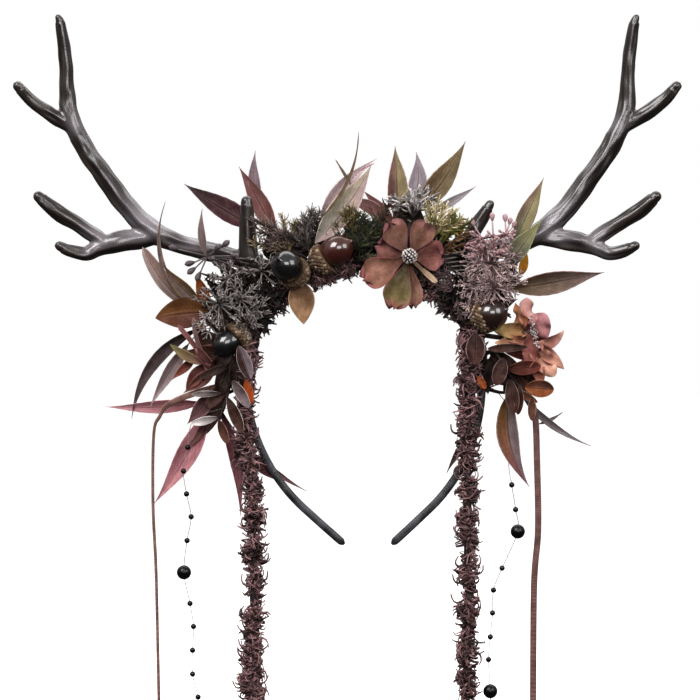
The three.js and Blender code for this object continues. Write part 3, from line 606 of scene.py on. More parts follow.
lamps = {  # place, size, watts
    "keyLeft": ((-0.75, -0.95, 0.9), (0.8, 0.8), 17.0),
    "fillRight": ((0.95, -0.85, 0.5), (0.7, 0.7), 7.0),
    "front": ((0.15, -1.75, 0.45), (0.9, 0.6), 10.0),
    "topBack": ((0.0, 0.6, 1.1), (1.9, 0.9), 9.0),
}
for label, (place, size, watts) in lamps.items():
    lamp = bpy.data.lights.new(label, "AREA")
    lamp.shape = "RECTANGLE"
    lamp.size, lamp.size_y = size
    lamp.energy = watts
    holder = bpy.data.objects.new(label, lamp)
    holder.location = place
    aim = -np.asarray(place) + np.array(studio["aim"])
    holder.rotation_euler = Vector(aim).to_track_quat("-Z", "Y").to_euler()
    bpy.context.scene.collection.objects.link(holder)
print("camera, floor and light ready")

# ribbons: flat cords that hang to the lower edge of the view

hangEnd = -237.0
ribbonFinish = ribbedTape("ribbonTape", "#593a37", "#8c6660", ribs=210.0, rough=0.6)
# the same tape as the right ribbon, painted lighter to stand in for the light on the left one
ribbonPaintedLight = ribbedTape("ribbonTapePaintedLight", "#835e56", "#c09a90", ribs=210.0, rough=0.6)
ribbonLeft = {
    "node": "ribbon_left", "finish": ribbonPaintedLight, "width": 3.5, "thick": 0.6, "facing": (20, 68),
    "points": [
        (-66, -4, -60), (-78, -5.5, -61), (-95, -7, -65.5), (-109, -8, -71.5), (-114, -8, -78),
        (-117.3, -8, -88), (-117.7, -8, -126.5), (-116, -8, -164.5), (-114.4, -8, hangEnd),
    ],
}
ribbonRight = {
    "node": "ribbon_right", "finish": ribbonFinish, "width": 3.5, "thick": 0.6, "facing": (10, 0),
    "points": [
        (64, -4, -58), (76, -6, -60), (86.5, -8, -65.5), (91.2, -8.5, -77), (92.4, -8.5, -103),
        (93, -8.5, -140), (90.8, -8.5, -170.5), (90.2, -8.5, hangEnd),
    ],
}


def makeRibbon(piece):
    steps, sides, turned = 120, 12, 0.6  # it turns over the first part of its length
    line, share = smoothLine(piece["points"], steps), np.linspace(0, 1, steps)
    first, last = piece["facing"]
    turn = np.radians(first + (last - first) * np.minimum(1, share / turned))
    facing = np.column_stack([np.sin(turn), -np.cos(turn), np.zeros(steps)])
    _, across, out = lineFrames(line, facing)
    angle = circle(sides)
    wide, thick = np.cos(angle), squared(np.sin(angle))
    rings = line[:, None] + across[:, None] * (wide * piece["width"] / 2)[None, :, None]
    rings = rings + out[:, None] * (thick * piece["thick"] / 2)[None, :, None]
    shape = Shape()
    shape.add(rings, (line[0], line[-1]), wide / 2 + 0.5, share)
    made = settle([shape.build(piece["node"], [piece["finish"]])], piece["node"])
    path = line[::4].tolist() + [line[-1].tolist()]
    path = [tuple(c * mm for c in point) for point in path]


makeRibbon(ribbonLeft)
makeRibbon(ribbonRight)

# hoop: half circle over the crown, a wider arc at each side, a straight leg to each tip

hoop = {
    "crown": 65.0, "side": 93.0, "sweep": math.radians(48), "leg": 28.5, "centre": -58.8, "lean": 4.0,
    "width": 6.4, "thick": 4.2, "ribs": 260.0, "sag": 1.6,
}


def leaning(x, z):  # the crown stands a little to the left of the tips
    drop = hoop["centre"] - hoop["side"] * math.sin(hoop["sweep"]) - hoop["leg"] * math.cos(hoop["sweep"])
    return x - hoop["lean"] * (1 - z / drop)


def hoopLine(first, last, count):  # between two shares of the hoop's length, from the right tip
    sideX, sweep = hoop["crown"] - hoop["side"], hoop["sweep"]
    low = np.linspace(-sweep, 0, 60)
    right = np.column_stack([sideX + hoop["side"] * np.cos(low), hoop["centre"] + hoop["side"] * np.sin(low)])
    tip = right[0] - hoop["leg"] * np.array([math.sin(sweep), math.cos(sweep)])
    half = np.linspace(0, math.pi, 200)[1:-1]
    crown = np.column_stack([hoop["crown"] * np.cos(half), hoop["centre"] + hoop["crown"] * np.sin(half)])
    left = (right * (-1, 1))[::-1]
    flat = np.vstack([np.linspace(tip, right[0], 40)[:-1], right, crown, left,
                      np.linspace(left[-1], tip * (-1, 1), 40)[1:]])
    walked = lengthsAlong(flat)
    wanted = np.linspace(first, last, count) * walked[-1]
    x, z = np.interp(wanted, walked, flat[:, 0]), np.interp(wanted, walked, flat[:, 1])
    drop = hoop["sag"] * np.clip((hoop["centre"] - z) / 60 - 0.3, 0, 1)
    return np.column_stack([leaning(x, z), np.zeros(count), z - drop])


def onHoop(degrees, back):
    turn = math.radians(degrees)
    z = hoop["centre"] + hoop["crown"] * math.sin(turn)
    return (leaning(hoop["crown"] * math.cos(turn), z), back, z)


def makeHoop():
    steps, sides, tipShare, tipSize = 220, 24, 0.006, 0.12
    line, share, angle = hoopLine(0, 1, steps), np.linspace(0, 1, steps), circle(sides)
    _, across, out = lineFrames(line)
    ends = np.minimum(1, np.sqrt(np.minimum(share, 1 - share) / tipShare + tipSize))  # rounded tips
    across = across * (ends * hoop["thick"] / 2)[:, None]
    out = out * (ends * hoop["width"] / 2)[:, None]
    rings = line[:, None] + across[:, None] * squared(np.cos(angle))[None, :, None]
    rings = rings + out[:, None] * squared(np.sin(angle))[None, :, None]
    shape = Shape()
    shape.add(rings, (line[0], line[-1]), angle / (2 * math.pi), share)
    finish = ribbedTape("hoopTape", "#1e1e21", "#56565b", hoop["ribs"], rough=0.34, relief=0.1)
    settle([shape.build("headband", [finish])], "headband")


makeHoop()

# shaggy trim: tufts on a core, wound over the hoop and hanging in two trails

trimFinish = fibre("trimPile", "#3a2526", "#b48c8c", rough=0.55, sheen=0.08)
coreFinish = fibre("trimCore", "#2a1c1d", "#6a4c4c", rough=0.7, sheen=0.1)
trim = {
    "core": 1.9, "tufts": 520, "clump": 0.0075, "strands": 7, "lengths": (4.5, 11.5), "thickness": 0.066,
    "bend": 0.85, "reach": -0.1,
}
wrap = {
    "core": 4.2, "tufts": 520, "inside": (0, 0, hoop["centre"]), "strands": 7, "lengths": (2.8, 5.8),
    "thickness": 0.11, "bend": 1.0, "reach": 0.6, "from": 8 / 32, "to": 25 / 32,
    "low": [((-30.8, -7, -3.9), (-8.8, -7, 5.5), 60), ((15.4, -6, -8.2), (37.4, -7, -11.6), 30)],
}
trailLeft = {
    "node": "fringe_trail_left", "seed": 11,
    "points": [
        (-65, -3, -42), (-67.7, -10.5, -52), (-67.7, -10.5, -85), (-63.8, -10.5, -115), (-62.7, -10, -152),
        (-62.7, -10, -195), (-64.8, -10, -218), (-61.2, -10, hangEnd + 3),
    ],
}
trailRight = {
    "node": "fringe_trail_right", "seed": 23,
    "points": [
        (58.5, -3, -27), (56.4, -8, -37), (56, -10.5, -48), (54.4, -10.5, -70), (54.2, -10.5, -100),
        (54.5, -10, -150), (54.5, -10, -195), (53.9, -10, hangEnd + 3),
    ],
}


def tuftLines(line, sizes, droop, seed):  # short lines that lead each tuft away from the core
    rng = np.random.default_rng(seed)
    along, across, out = lineFrames(line)
    inside, clump, thinBelow = sizes.get("inside"), sizes.get("clump", 0), -18
    lines = []
    for share in np.sort(rng.uniform(0, 1, sizes["tufts"])):
        share = min(max(share + clump * math.sin(share * 97 + seed), 0), 1)  # gathered into lumps
        i = int(share * (len(line) - 1))
        turn = rng.uniform(0, 2 * math.pi)
        way = across[i] * math.cos(turn) + out[i] * math.sin(turn)
        way = unit(way + along[i] * (droop + rng.uniform(-1.2, 1.2)))
        if inside and line[i][2] < thinBelow and np.dot(way, unit(np.subtract(inside, line[i]))) > 0.3:
            continue  # the winding is thin towards the head
        lump = 1 + 0.9 * math.sin(share * 61 + seed) * math.sin(share * 23)
        start = line[i] + way * sizes["core"] * rng.uniform(0.3, 0.9) * lump
        lines.append([start, start + way * 0.6, start + way * 1.2])
    return lines


def makeTrim(node, line, sizes, seed, droop):
    shape = Shape()
    radii = sizes["core"] * (1 + 0.16 * np.sin(np.arange(len(line)) * 0.9))  # a lumpy core with thin ends
    radii[0] = radii[-1] = 0.6
    tube(shape, line, radii, sides=10, steps=len(line) * 2)
    inner = shape.build(node + "_core", [coreFinish])
    lines = tuftLines(line, sizes, droop, seed)
    rng = np.random.default_rng(seed + 1)
    for first, last, count in sizes.get("low", []):  # longer tufts that hang under the crown
        for share in np.linspace(0, 1, count):
            start = (1 - share) * np.array(first) + share * np.array(last)
            start = start + rng.normal(0, 1, 3) * (0.5, 2, 0.8)
            way = unit(np.array((0.3, -0.3, -1)) + rng.normal(0, 0.5, 3))
            lines.append([start, start + way * 0.8, start + way * 1.6])
    strands = strandsOn(node + "_strands", lines, trimFinish, count=sizes["strands"], steps=5,
                        lengths=sizes["lengths"], thickness=sizes["thickness"], lean=(0.05, 0.9), seed=seed,
                        bend=sizes["bend"], reach=sizes["reach"], wobble=1.6)
    settle([strands, inner], node)


makeTrim("band_wrap", hoopLine(wrap["from"], wrap["to"], 120), wrap, seed=5, droop=0.0)
for piece in (trailLeft, trailRight):
    makeTrim(piece["node"], smoothLine(piece["points"], 90), trim, piece["seed"], droop=0.45)

# antlers: branches merged into one skin, with grooves that run along each branch

antler = {
    "middle": -11.4, "voxel": 0.0007, "smooth": (0.5, 26), "groove": 0.3,
    "forks": [(112, 3, 26, 15), (151, 8.5, 82, 5.5), (138, 1, 18, 9), (84, 3, 15, 9)],  # place and reach of the painted pale reflection round each fork
    "branches": [  # out from the middle plane, back, up, radius
        [(24, 2, -4, 5), (46, 3, 3, 5), (64, 3, 9.5, 5), (81, 3, 13.8, 5.2), (97, 3, 18.4, 5.6),
         (109.5, 3, 25, 6), (122, 4, 37.7, 5.3), (133, 6, 52.6, 5.3), (143.6, 8, 67.5, 5), (153, 9, 86, 5.2),
         (155, 9, 100, 4.2), (155.5, 8, 117, 3.5), (158.2, 6, 137.5, 2.8), (159.6, 5, 142, 2)],
        [(151, 9, 81, 4.3), (164.7, 7, 88.9, 3.9), (174.6, 4, 96.2, 3.5), (181.4, 0.5, 103.6, 3)],
        [(104, 3, 21, 4.6), (125, 2, 18, 5.8), (137, 1, 14.5, 4.5), (144, 0, 11.2, 3.7),
         (152.4, -2, 12.8, 3.5), (158.2, -4, 15.5, 2.8)],
        [(134, 1, 17.5, 4.2), (148, 1, 27, 4), (160.2, -1, 34.7, 4), (169.6, -4, 42.6, 3.2)],
    ],
}
antlerLeft = {"node": "antler_left", "side": -1, "seed": 3,
              "brow": [(54.6, 2, 4, 7), (54.6, 0, 14, 5.2), (55, -2, 26, 4), (55.2, -3, 40, 3.4)]}
antlerRight = {"node": "antler_right", "side": 1, "seed": 8,
               "brow": [(58, 3, 6, 4.4), (66.5, 1, 18.7, 4), (74, 0, 31, 3.6), (78.6, -1, 38.6, 2.6)]}


branchSteps = 90
radiusAt, walkedAt, branchAt = 3, 10, 11  # columns of a sample on a branch
placeAt, acrossAt, outAt, alongAt = slice(0, 3), slice(4, 7), slice(7, 10), slice(12, 15)


def antlerBranches(piece):  # a tube for each branch, and samples along it
    shape, samples = Shape(), []
    for number, branch in enumerate(antler["branches"] + [piece["brow"]]):
        rows = [(antler["middle"] + piece["side"] * out, back, up, r) for out, back, up, r in branch]
        ahead = np.append(unit(np.subtract(rows[-1], rows[-2])[:3]), 0)
        end = np.asarray(rows[-1], float)
        for far, left in ((0.5, 0.86), (0.9, 0.4)):  # a rounded tip
            rows.append(tuple((end + ahead * end[3] * far) * (1, 1, 1, left)))
        rows = np.asarray(rows)
        tube(shape, rows[:, :3], rows[:, 3], sides=18, steps=16 * len(rows))
        line = smoothLine(rows, branchSteps)
        along, across, out = lineFrames(line[:, :3])
        walked, label = lengthsAlong(line[:, :3]), np.full(branchSteps, number)
        samples.append(np.column_stack([line, across, out, walked, label, along]))
    return shape, np.vstack(samples)


def mergedSkin(shape, name):  # one smooth skin over all the branches
    rough = shape.build(name, [])
    skin = rough.modifiers.new("skin", "REMESH")
    skin.mode, skin.voxel_size = "VOXEL", antler["voxel"]
    soft = rough.modifiers.new("soft", "SMOOTH")
    soft.factor, soft.iterations = antler["smooth"]
    graph = bpy.context.evaluated_depsgraph_get()
    mesh = bpy.data.meshes.new_from_object(rough.evaluated_get(graph))
    bpy.data.objects.remove(rough)
    return mesh


def nearestSamples(points, samples, batch=4000):  # and how much farther off the next branch is
    near, apart = np.empty(len(points), int), np.empty(len(points))
    for start in range(0, len(points), batch):
        part = slice(start, start + batch)
        away = points[part, None] - samples[None, :, placeAt]
        gap = np.linalg.norm(away, axis=2) - samples[None, :, radiusAt]
        near[part] = gap.argmin(axis=1)
        best = np.sort(gap.reshape(len(gap), -1, branchSteps).min(axis=2), axis=1)
        apart[part] = best[:, 1] - best[:, 0]
    return samples[near], apart


def makeAntler(piece):
    shape, samples = antlerBranches(piece)
    mesh = mergedSkin(shape, piece["node"] + "_rough")
    n = len(mesh.vertices)
    points, normals = np.empty(n * 3), np.empty(n * 3)
    mesh.vertices.foreach_get("co", points)
    mesh.vertices.foreach_get("normal", normals)
    points, normals = points.reshape(-1, 3) / mm, normals.reshape(-1, 3)
    row, apart = nearestSamples(points, samples)
    away, along = points - row[:, placeAt], row[:, alongAt]
    turn = np.arctan2((away * row[:, outAt]).sum(1), (away * row[:, acrossAt]).sum(1))
    ahead = (away * along).sum(1)
    walked, number, radius = row[:, walkedAt] + ahead, row[:, branchAt], row[:, radiusAt].copy()
    for branch in np.unique(number):
        here, course = number == branch, samples[samples[:, branchAt] == branch]
        radius[here] = np.interp(walked[here], course[:, walkedAt], course[:, radiusAt])
        apart[here] *= np.clip((course[-1, walkedAt] - 5 - walked[here]) / 2, 0, 1)
    core = row[:, placeAt] + along * ahead[:, None]
    true = np.clip(apart / 3, 0, 1)[:, None]  # evens out the skin, but not in the forks and at the ends
    points = points * (1 - true) + (core + unit(points - core) * radius[:, None]) * true
    seed = piece["seed"] + number * 1.7
    sway = 0.5 * np.sin(walked * 0.07 + seed) + 0.25 * np.sin(walked * 0.19 + 2 * seed)
    wave = np.sin(4 * turn + 2 * sway + seed) + 0.55 * np.sin(7 * turn - 3 * sway + 2 * seed + walked * 0.02)
    # painted shade in the grooves
    paintedGrooveShade = np.clip(0.1 - wave * 0.6, 0, 1)
    lump = 0.18 * np.sin(walked * 0.21 + 2 * turn + seed) + 0.12 * np.sin(walked * 0.43 - turn)
    depth = np.minimum(1, radius / 4.5) * np.clip(apart / 4, 0, 1)  # the grooves fade out in the forks
    forks = np.array(antler["forks"], float)
    forks[:, 0] = antler["middle"] + piece["side"] * forks[:, 0]
    near = (np.linalg.norm(points[:, None] - forks[None, :, :3], axis=2) / forks[:, 3]).min(axis=1)
    # painted pale reflection round the forks and along the ridges between the grooves
    paintedReflection = np.clip(0.72 * np.exp(-near ** 2) + 0.55 * np.clip(2 * wave - 2.1, 0, 1), 0, 0.8)
    points = points + normals * ((wave * antler["groove"] + lump) * depth)[:, None]
    mesh.vertices.foreach_set("co", (points * mm).ravel())
    course = np.column_stack([np.cos(turn) * 2.6, np.sin(turn) * 2.6, walked * 0.035 + number * 5])
    keepValues(mesh, "course", "FLOAT_VECTOR", "vector", course)
    keepValues(mesh, "paintedGrooveShade", "FLOAT", "value", paintedGrooveShade)
    keepValues(mesh, "paintedReflection", "FLOAT", "value", paintedReflection)
    mesh.polygons.foreach_set("use_smooth", [True] * len(mesh.polygons))
    mesh.materials.clear()
    mesh.materials.append(hornFinish)
    settle([linked(piece["node"], mesh)], piece["node"])


makeAntler(antlerLeft)
makeAntler(antlerRight)

# leaves: closed shells with a fold, a wavy edge, a base colour, a tip colour and a rim colour

outlines = {
    "willow": lambda t: np.sin(np.pi * t ** 0.78) ** 1.15 * (1 - 0.3 * t ** 3),
    "ovate": lambda t: np.sin(np.pi * t ** 0.85) ** 0.85,
    "oval": lambda t: np.sin(np.pi * t ** 1.1) ** 0.55,
    "round": lambda t: np.sin(np.pi * t ** 1.3) ** 0.6,
    "strap": lambda t: np.minimum(1, 9 * (1 - t) + 0.25),
}


def leaf(start, to, width, tints=None, **more):  # a leaf's row; start is a place, or a share of the stem
    return start, to, width, tints, more


def leafShell(shape, base, tip, width, tints, outline="willow", stalk=0.0, bow=0.0, arch=0.0, roll=0.0,
              twist=0.0, fold=0.32, wave=0.06, half=None, finish=0, seed=0, lift=None):
    steps, sides, thick, stalkWidth = 34, 14, 0.55, 0.7
    rng = np.random.default_rng(seed + 97)
    base, tip, facing = np.asarray(base, float), np.asarray(tip, float), np.asarray((0, -1, 0), float)
    along = unit(tip - base)
    sideways = unit(np.cross(along, facing))
    t = np.linspace(0, 1, steps)
    line = bentLine(base, (base + tip) / 2 + sideways * 2 * bow - facing * 2 * arch, tip, t)
    turned = np.array([turnAbout(facing, along, roll + twist * s) for s in t])
    _, across, out = lineFrames(line, turned)
    blade = np.clip((t - stalk) / (1 - stalk), 0, 1)
    wide = width * np.maximum(outlines[outline](blade), 0)
    wide = np.maximum(wide, stalkWidth * np.minimum(1, 8 * (1 - t) + 0.3))
    if outline == "willow":
        wide = wide * (1 + 0.012 * (np.arange(steps) % 3 - 1))  # finely toothed edge
    angle = circle(sides)
    u, s = np.cos(angle), np.sin(angle)
    ripple = np.sin(t * rng.uniform(9, 15) + rng.uniform(0, 6))[:, None] * np.sign(u) * u ** 2
    ripple = ripple + 0.6 * np.sin(t * rng.uniform(5, 9) + rng.uniform(0, 6))[:, None] * u ** 2
    raised = fold * wide[:, None] * np.abs(u[None]) ** 1.2 + wave * wide[:, None] * ripple
    body = np.minimum(thick, 0.3 + 0.5 * wide / max(width, 1))
    rings = line[:, None] + across[:, None] * (wide[:, None] / 2 * u[None])[..., None]
    rings = rings + out[:, None] * (body[:, None] / 2 * s[None] + raised)[..., None]
    share = blade[:, None, None] ** 1.3
    lift = lift or (1.24 if outline == "willow" else 1.0)
    first, last, rim = colours(tints, lift)
    tint = (1 - share) * first + share * last + np.zeros((steps, sides, 1))
    if half:  # one half of the blade in its own colour, or in two
        other = np.clip(u * 6 + 0.5, 0, 1)[None, :, None]
        codes = colours(half, lift)
        tint = tint * (1 - other) + ((1 - share) * codes[0] + share * codes[-1]) * other
    tint = np.vstack([tint.reshape(-1, 4), tint[0, 0], tint[-1, 0]])
    shape.add(rings, (line[0], line[-1]), u / 2 + 0.5, blade, tint, rim, finish)


def makeSpray(piece):
    shape = Shape()
    stemTube(shape, piece["stem"], (1.1, 0.7), 24, piece["stalk"], finish=1)
    line = smoothLine(piece["stem"], 200)
    for number, (start, to, width, tints, more) in enumerate(piece["leaves"]):
        base = start if isinstance(start, tuple) else line[int(start * (len(line) - 1))]
        more = {"lift": piece.get("lift"), "outline": piece.get("outline", "willow"), **more}
        leafShell(shape, base, to, width, tints or piece["tints"], seed=number + len(piece["node"]), **more)
    made = shape.build(piece["node"], [piece.get("finish", leafFinish), stalkFinish])
    settle([made], piece["node"])


willowLeftTop = {
    "node": "willow_left_top", "slot": "leaf_plum", "stalk": "#4a3a34",
    "stem": [onHoop(124, 4), (-44, 10, 9), (-50, 11, 20)],
    "leaves": [
        leaf(1, (-101.8, 12, 50.2), 13.2, "#4f2c31 #463b3d #7d6468", bow=-1.5, roll=15, stalk=0.2),
        leaf(0.95, (-71.6, 13, 60), 10.5, "#75504a #7a5656 #a07a78", bow=0.5, stalk=0.08),
        leaf(0.9, (-62.4, 16, 69), 7, "#7a6a70 #8a7a80 #a4949a", bow=-6, stalk=0.4),
    ],
}
willowLeftSide = {
    "node": "willow_left_side", "lift": 1.4, "slot": "leaf_brown", "stalk": "#4a3a35",
    "stem": [onHoop(152, 3), (-76, 4, -25), (-92, 3, -22)],
    "leaves": [
        leaf(1, (-111, -6, 39.6), 3.8, "#6a5450 #887874 #a0928e", bow=-12.5, twist=60),
        leaf(0.98, (-123.8, -2, 14.6), 9.5, "#7d6c68 #a0908a #c0b0aa", bow=-4.5, roll=20, stalk=0.05,
             outline="oval", half="#8a746c"),
        leaf((-88.6, -7, -18.2), (-112, -7, 5), 8, "#6a605c #4a3022 #8a7a30", bow=-2, stalk=0.1,
             half="#5f4a3a"),
        leaf((-68, -3, -22), (-90, -4, -2), 10, "#1f1817 #2d2422 #4a3c39"),
        leaf((-64, -3, -14), (-80, -4, 7), 10, "#1f1817 #2d2422 #4a3c39"),
        leaf((-66, -3, -30), (-93, -5, -14), 11, "#1f1817 #332724 #4a3c39"),
        leaf((-58, -2, -8), (-66, -4, 13), 10, "#1f1817 #2d2422 #4a3c39"),
        leaf((-70, -3, -34), (-92, -5, -24), 9, "#2a1d1a #3d2a25 #5a463f"),
    ],
}
willowLeftLow = {
    "node": "willow_left_low", "lift": 1.85, "slot": "leaf_dark", "stalk": "#3a2c29",
    "stem": [onHoop(163, 2), (-78, 5, -36), (-93, 3, -30)],
    "leaves": [
        leaf(1, (-130, 0, -80), 7, "#2e2424 #4a3e40 #6f6062", bow=8.5),
        leaf(0.97, (-120, -1, -73.7), 7.4, "#685a58 #968688 #b6a8aa", bow=2, roll=-15, stalk=0.2),
        leaf((-87.6, -12, -50), (-104, -11, -28.2), 2.7, "#52302e #7a5250 #a07e7a", bow=0.6, outline="strap"),
        leaf((-88, -12.5, -49.4), (-95.3, -12, -24.2), 2.4, "#4a2e2c #7c6462 #a08c88", bow=-1.6,
             outline="strap"),
        leaf((-84, -13.5, -52.6), (-94.6, -13.5, -40), 5, "#3c201e #4e2c2a #8a5e5c", outline="oval",
             fold=0.4),
        leaf((-85.6, -14.5, -50.4), (-93.8, -14, -40.6), 1, "#5a3836 #8a6462 #a88884", bow=-2.6,
             outline="strap"),
        leaf((-83.1, -12, -53.9), (-90.8, -12, -45.7), 6, "#4a2c2a #6d4644 #947472", outline="ovate"),
        leaf((-94.6, -6, -46.2), (-107.8, -6, -58.3), 5, "#5a2f28 #7a4538 #a07a6a"),
        leaf((-76, -4, -50), (-97, -4, -27), 12, "#2e1e1a #4a312a #6a4c40"),
        leaf((-74, -3, -46), (-100, -4, -42), 12, "#2e1e1a #4a3029 #7a5a4c"),
        leaf((-89.1, -8, -49.5), (-99.6, -8, -63.8), 8, "#4c2c28 #6a403a #8a605a", outline="ovate"),
        leaf((-83.6, -9, -52.8), (-101.2, -8, -65.5), 7.5, "#482824 #6a443c #8a645a"),
        leaf((-79.2, -6, -44), (-101.2, -6, -42.9), 9, "#36211d #5a3c33 #7a5a4c"),
        leaf((-79.2, -5, -48.4), (-96.8, -5, -55), 9, "#2a1916 #4a2e28 #6a4a40"),
        leaf((-89.7, -11, -49.5), (-108.4, -10, -38.5), 5.2, "#6e5248 #6a6640 #948a64", bow=-1,
             outline="ovate"),
    ],
}
willowLeftTail = {
    "node": "willow_left_tail", "lift": 1.85, "slot": "leaf_burgundy", "stalk": "#3d2a28",
    "stem": [onHoop(182, 2), (-76, 3, -65), (-86, 2, -70)],
    "leaves": [
        leaf(1, (-144.7, 1, -73), 7.6, "#6a4246 #a87e84 #bc9a9e", bow=-1.6, stalk=0.08),
        leaf(1, (-117.7, -2, -126.5), 12.4, "#805056 #b08488 #c8a4a4", bow=-2.5, stalk=0.1, half="#966a70"),
        leaf(0.9, (-70.4, 4, -133.7), 7, "#6a4046 #86585e #c4a0a4", bow=-4, stalk=0.1),
        leaf((-64.9, 3, -97.9), (-49.5, 2, -113.9), 7, "#5a3438 #8a5a62 #b48c90", bow=1),
        leaf(0.9, (-33.6, 9, -120), 3.2, "#6b4144 #6a5456 #8a7476", bow=6, arch=2, stalk=0.5),
        leaf(0.7, (-100, -2, -96), 8, "#4a2f2e #6a4a48 #94706c", bow=-2),
        leaf((-84.7, -8, -66), (-99, -9, -82.5), 9, "#3a2624 #6d4e50 #a08688"),
        leaf(0.6, (-92, -3, -90), 8, "#33211f #4f3634 #7a5c58"),
    ],
}
willowCentreLeft = {
    "node": "willow_centre_left", "slot": "leaf_grey", "stalk": "#5a4a42",
    "stem": [onHoop(112, 4), (-27, 7, 9), (-29, 8, 17)],
    "leaves": [
        leaf((-29.2, -10, 16.5), (2, 4, 60.5), 15, "#85827a #b4a692 #c8bcb0", bow=2.5, roll=-10,
             half="#a3908c"),
        leaf((-25.3, -10, 30.8), (-5.2, 1, 78), 1.9, "#6a5a3a #74605a #94866f", bow=5.2),
        leaf(0.97, (5, 13, 64.4), 9.5, "#ac989a #c4b0b2 #d8c8c6", bow=-6, stalk=0.15),
        leaf((-9.4, 5, 49.5), (-17.9, 6, 63.3), 1.8, "#6b5a50 #7a6a60 #9a8a80"),
        leaf((-37.4, -2, 5.5), (-39.6, -1, 27.5), 15, "#15100f #241b18 #3a2e2a"),
        leaf((-48.4, -2, 5.5), (-53.9, -1, 25.3), 15, "#15100f #2a201d #3a2e2a"),
        leaf((-27.5, -2, 7.7), (-27.5, -1, 26.4), 13, "#15100f #241b18 #3a2e2a"),
        leaf((-12, 12, 50), (3.5, 12, 61.6), 2.2, "#9a7a80 #b08a92 #ccb0ac", bow=-1),
    ],
}
willowCentre = {
    "node": "willow_centre", "slot": "leaf_grey", "stalk": "#4f4038",
    "stem": [onHoop(84, 5), (11, 9, 15), (17, 9, 26)],
    "leaves": [
        leaf(0.97, (15, 9, 71), 12, "#6a4c44 #8c7068 #b09088", roll=10, stalk=0.1, half="#8f8264"),
        leaf(1, (26.8, 12, 68), 10.5, "#8f868b #9a9096 #bdb6ba", bow=5, stalk=0.3),
        leaf(0.98, (54, 9, 73.7), 13.4, "#5a4638 #8a7a5a #a08a74", bow=3.8, roll=-12, stalk=0.2,
             half="#70634a"),
        leaf(0.94, (59.6, 4, 48.4), 5, "#8d878a #a39ca0 #bdb8ba", bow=1, stalk=0.42),
        leaf(0.95, (-17.4, -1, 42), 8, "#745450 #8c6c68 #b49a96", bow=3, roll=20, stalk=0.1, fold=0.28,
             lift=1.6),
        leaf(0.85, (-2.5, 3, 46), 8, "#7a5654 #8a6664 #b0908c", bow=1, stalk=0.1, lift=1.7),
        leaf(0.85, (24, 4, 42), 12, "#6a6446 #77704f #98906e", outline="round"),
        leaf((22.6, -6, -7.7), (23.1, -6, 26.4), 20, "#1a1210 #2a201a #3a2e26", outline="round", fold=0.02),
        leaf((22, -4, 18.7), (26.4, -2, 40.7), 15, "#1f1a14 #35301f #4a442e"),
        leaf((-2.2, -3, 5.5), (0, -2, 30.8), 17, "#10110d #1f2219 #30332a"),
        leaf((-9.9, -3, 5.5), (-9.9, -2, 28.6), 13, "#10110d #23241a #30332a"),
        leaf((8.8, -3, 9.9), (8.8, -2, 33), 12, "#1a1310 #33261d #46382c"),
        leaf((39.6, -3, 6.6), (38.5, -2, 26.4), 14, "#1a1510 #3a3020 #5a4a34"),
        leaf((47.9, -3, 6.6), (48.4, -2, 20.9), 12, "#15100f #2e231e #4a3a30"),
        leaf((47.9, -7, 20.4), (52.8, -8, 28.1), 4, "#8a5a24 #b07a30 #c89a58", outline="ovate"),
    ],
}
willowRight = {
    "node": "willow_right", "lift": 1.35, "slot": "leaf_olive", "stalk": "#5a4c3c",
    "stem": [onHoop(48, -3), (58, -7, -6), (72, -7.5, -2)],
    "leaves": [
        leaf(0.97, (96.2, -6.5, 52.5), 9.8, "#6c705a #9a7a6a #8a4a48", stalk=0.34, half="#86805f"),
        leaf(1, (95, -10, 29.5), 11, "#77746f #858755 #a09e80", roll=-15, stalk=0.1),
        leaf((74, -8, -9), (129.5, -5, 0.8), 13, "#6a5a46 #6f5e5c #b08a86", bow=0.2, roll=10, stalk=0.06),
        leaf((83.4, -8, -1.1), (86.9, -9, 11), 5, "#a06a1c #c08a20 #d8a840", outline="ovate"),
        leaf((57, -9, -2), (40.5, -14, 10.5), 11, "#0a0808 #151212 #5a5452", outline="ovate", bow=1),
        *[leaf((x, -14.6, low), (53.4, -13.4, high), 0.9, "#6a6462 #8a8482 #9a9492", fold=0.0)
          for x, low, high in ((41.2, 9.9, 12.1), (41.7, 7.7, 9.6), (42.1, 5.5, 7), (42.6, 3.3, 4.5),
                               (43, 1.1, 2))],  # pale veins on the black leaf
        leaf((62, -5, -14), (84, -7, -2), 11, "#1f1817 #332826 #5a4a45"),
        leaf((58, -5, -10), (70, -7, 12), 10, "#1f1817 #332826 #5a4a45"),
        leaf((62, -5, -20), (82, -7, -14), 10, "#2a1d1a #3d2a25 #6a5048"),
    ],
}
willowRightTail = {
    "node": "willow_right_tail", "lift": 1.5, "slot": "leaf_gold", "stalk": "#4a3828",
    "stem": [onHoop(-3, 2), (72, 2, -65), (78, 0, -65)],
    "leaves": [
        leaf(1, (88.8, -1, -117.2), 12.6, "#756868 #8f7e82 #c4b2ae", bow=5.4, roll=12,
             half="#7c5a26 #7a4c5a"),
        leaf((84.2, -2, -66.6), (122.7, -2, -94.6), 4.2, "#625a5c #8a8284 #aca4a6", bow=3.4),
        leaf((93.5, -2, -82.5), (107, -1, -75.9), 2.2, "#6a6264 #857c7e #9a9294", bow=0.8),
        leaf((59, 2, -86), (43.5, 9, -110), 4.4, "#4f403a #5b4a44 #7a6a62", bow=1, arch=1),
        leaf(0.9, (98, -3, -52), 12, "#2e1f1b #4a332a #7a5c4c"),
        leaf(0.7, (94, -4, -42), 12, "#3a261f #5f3a2c #8a6450"),
    ],
}
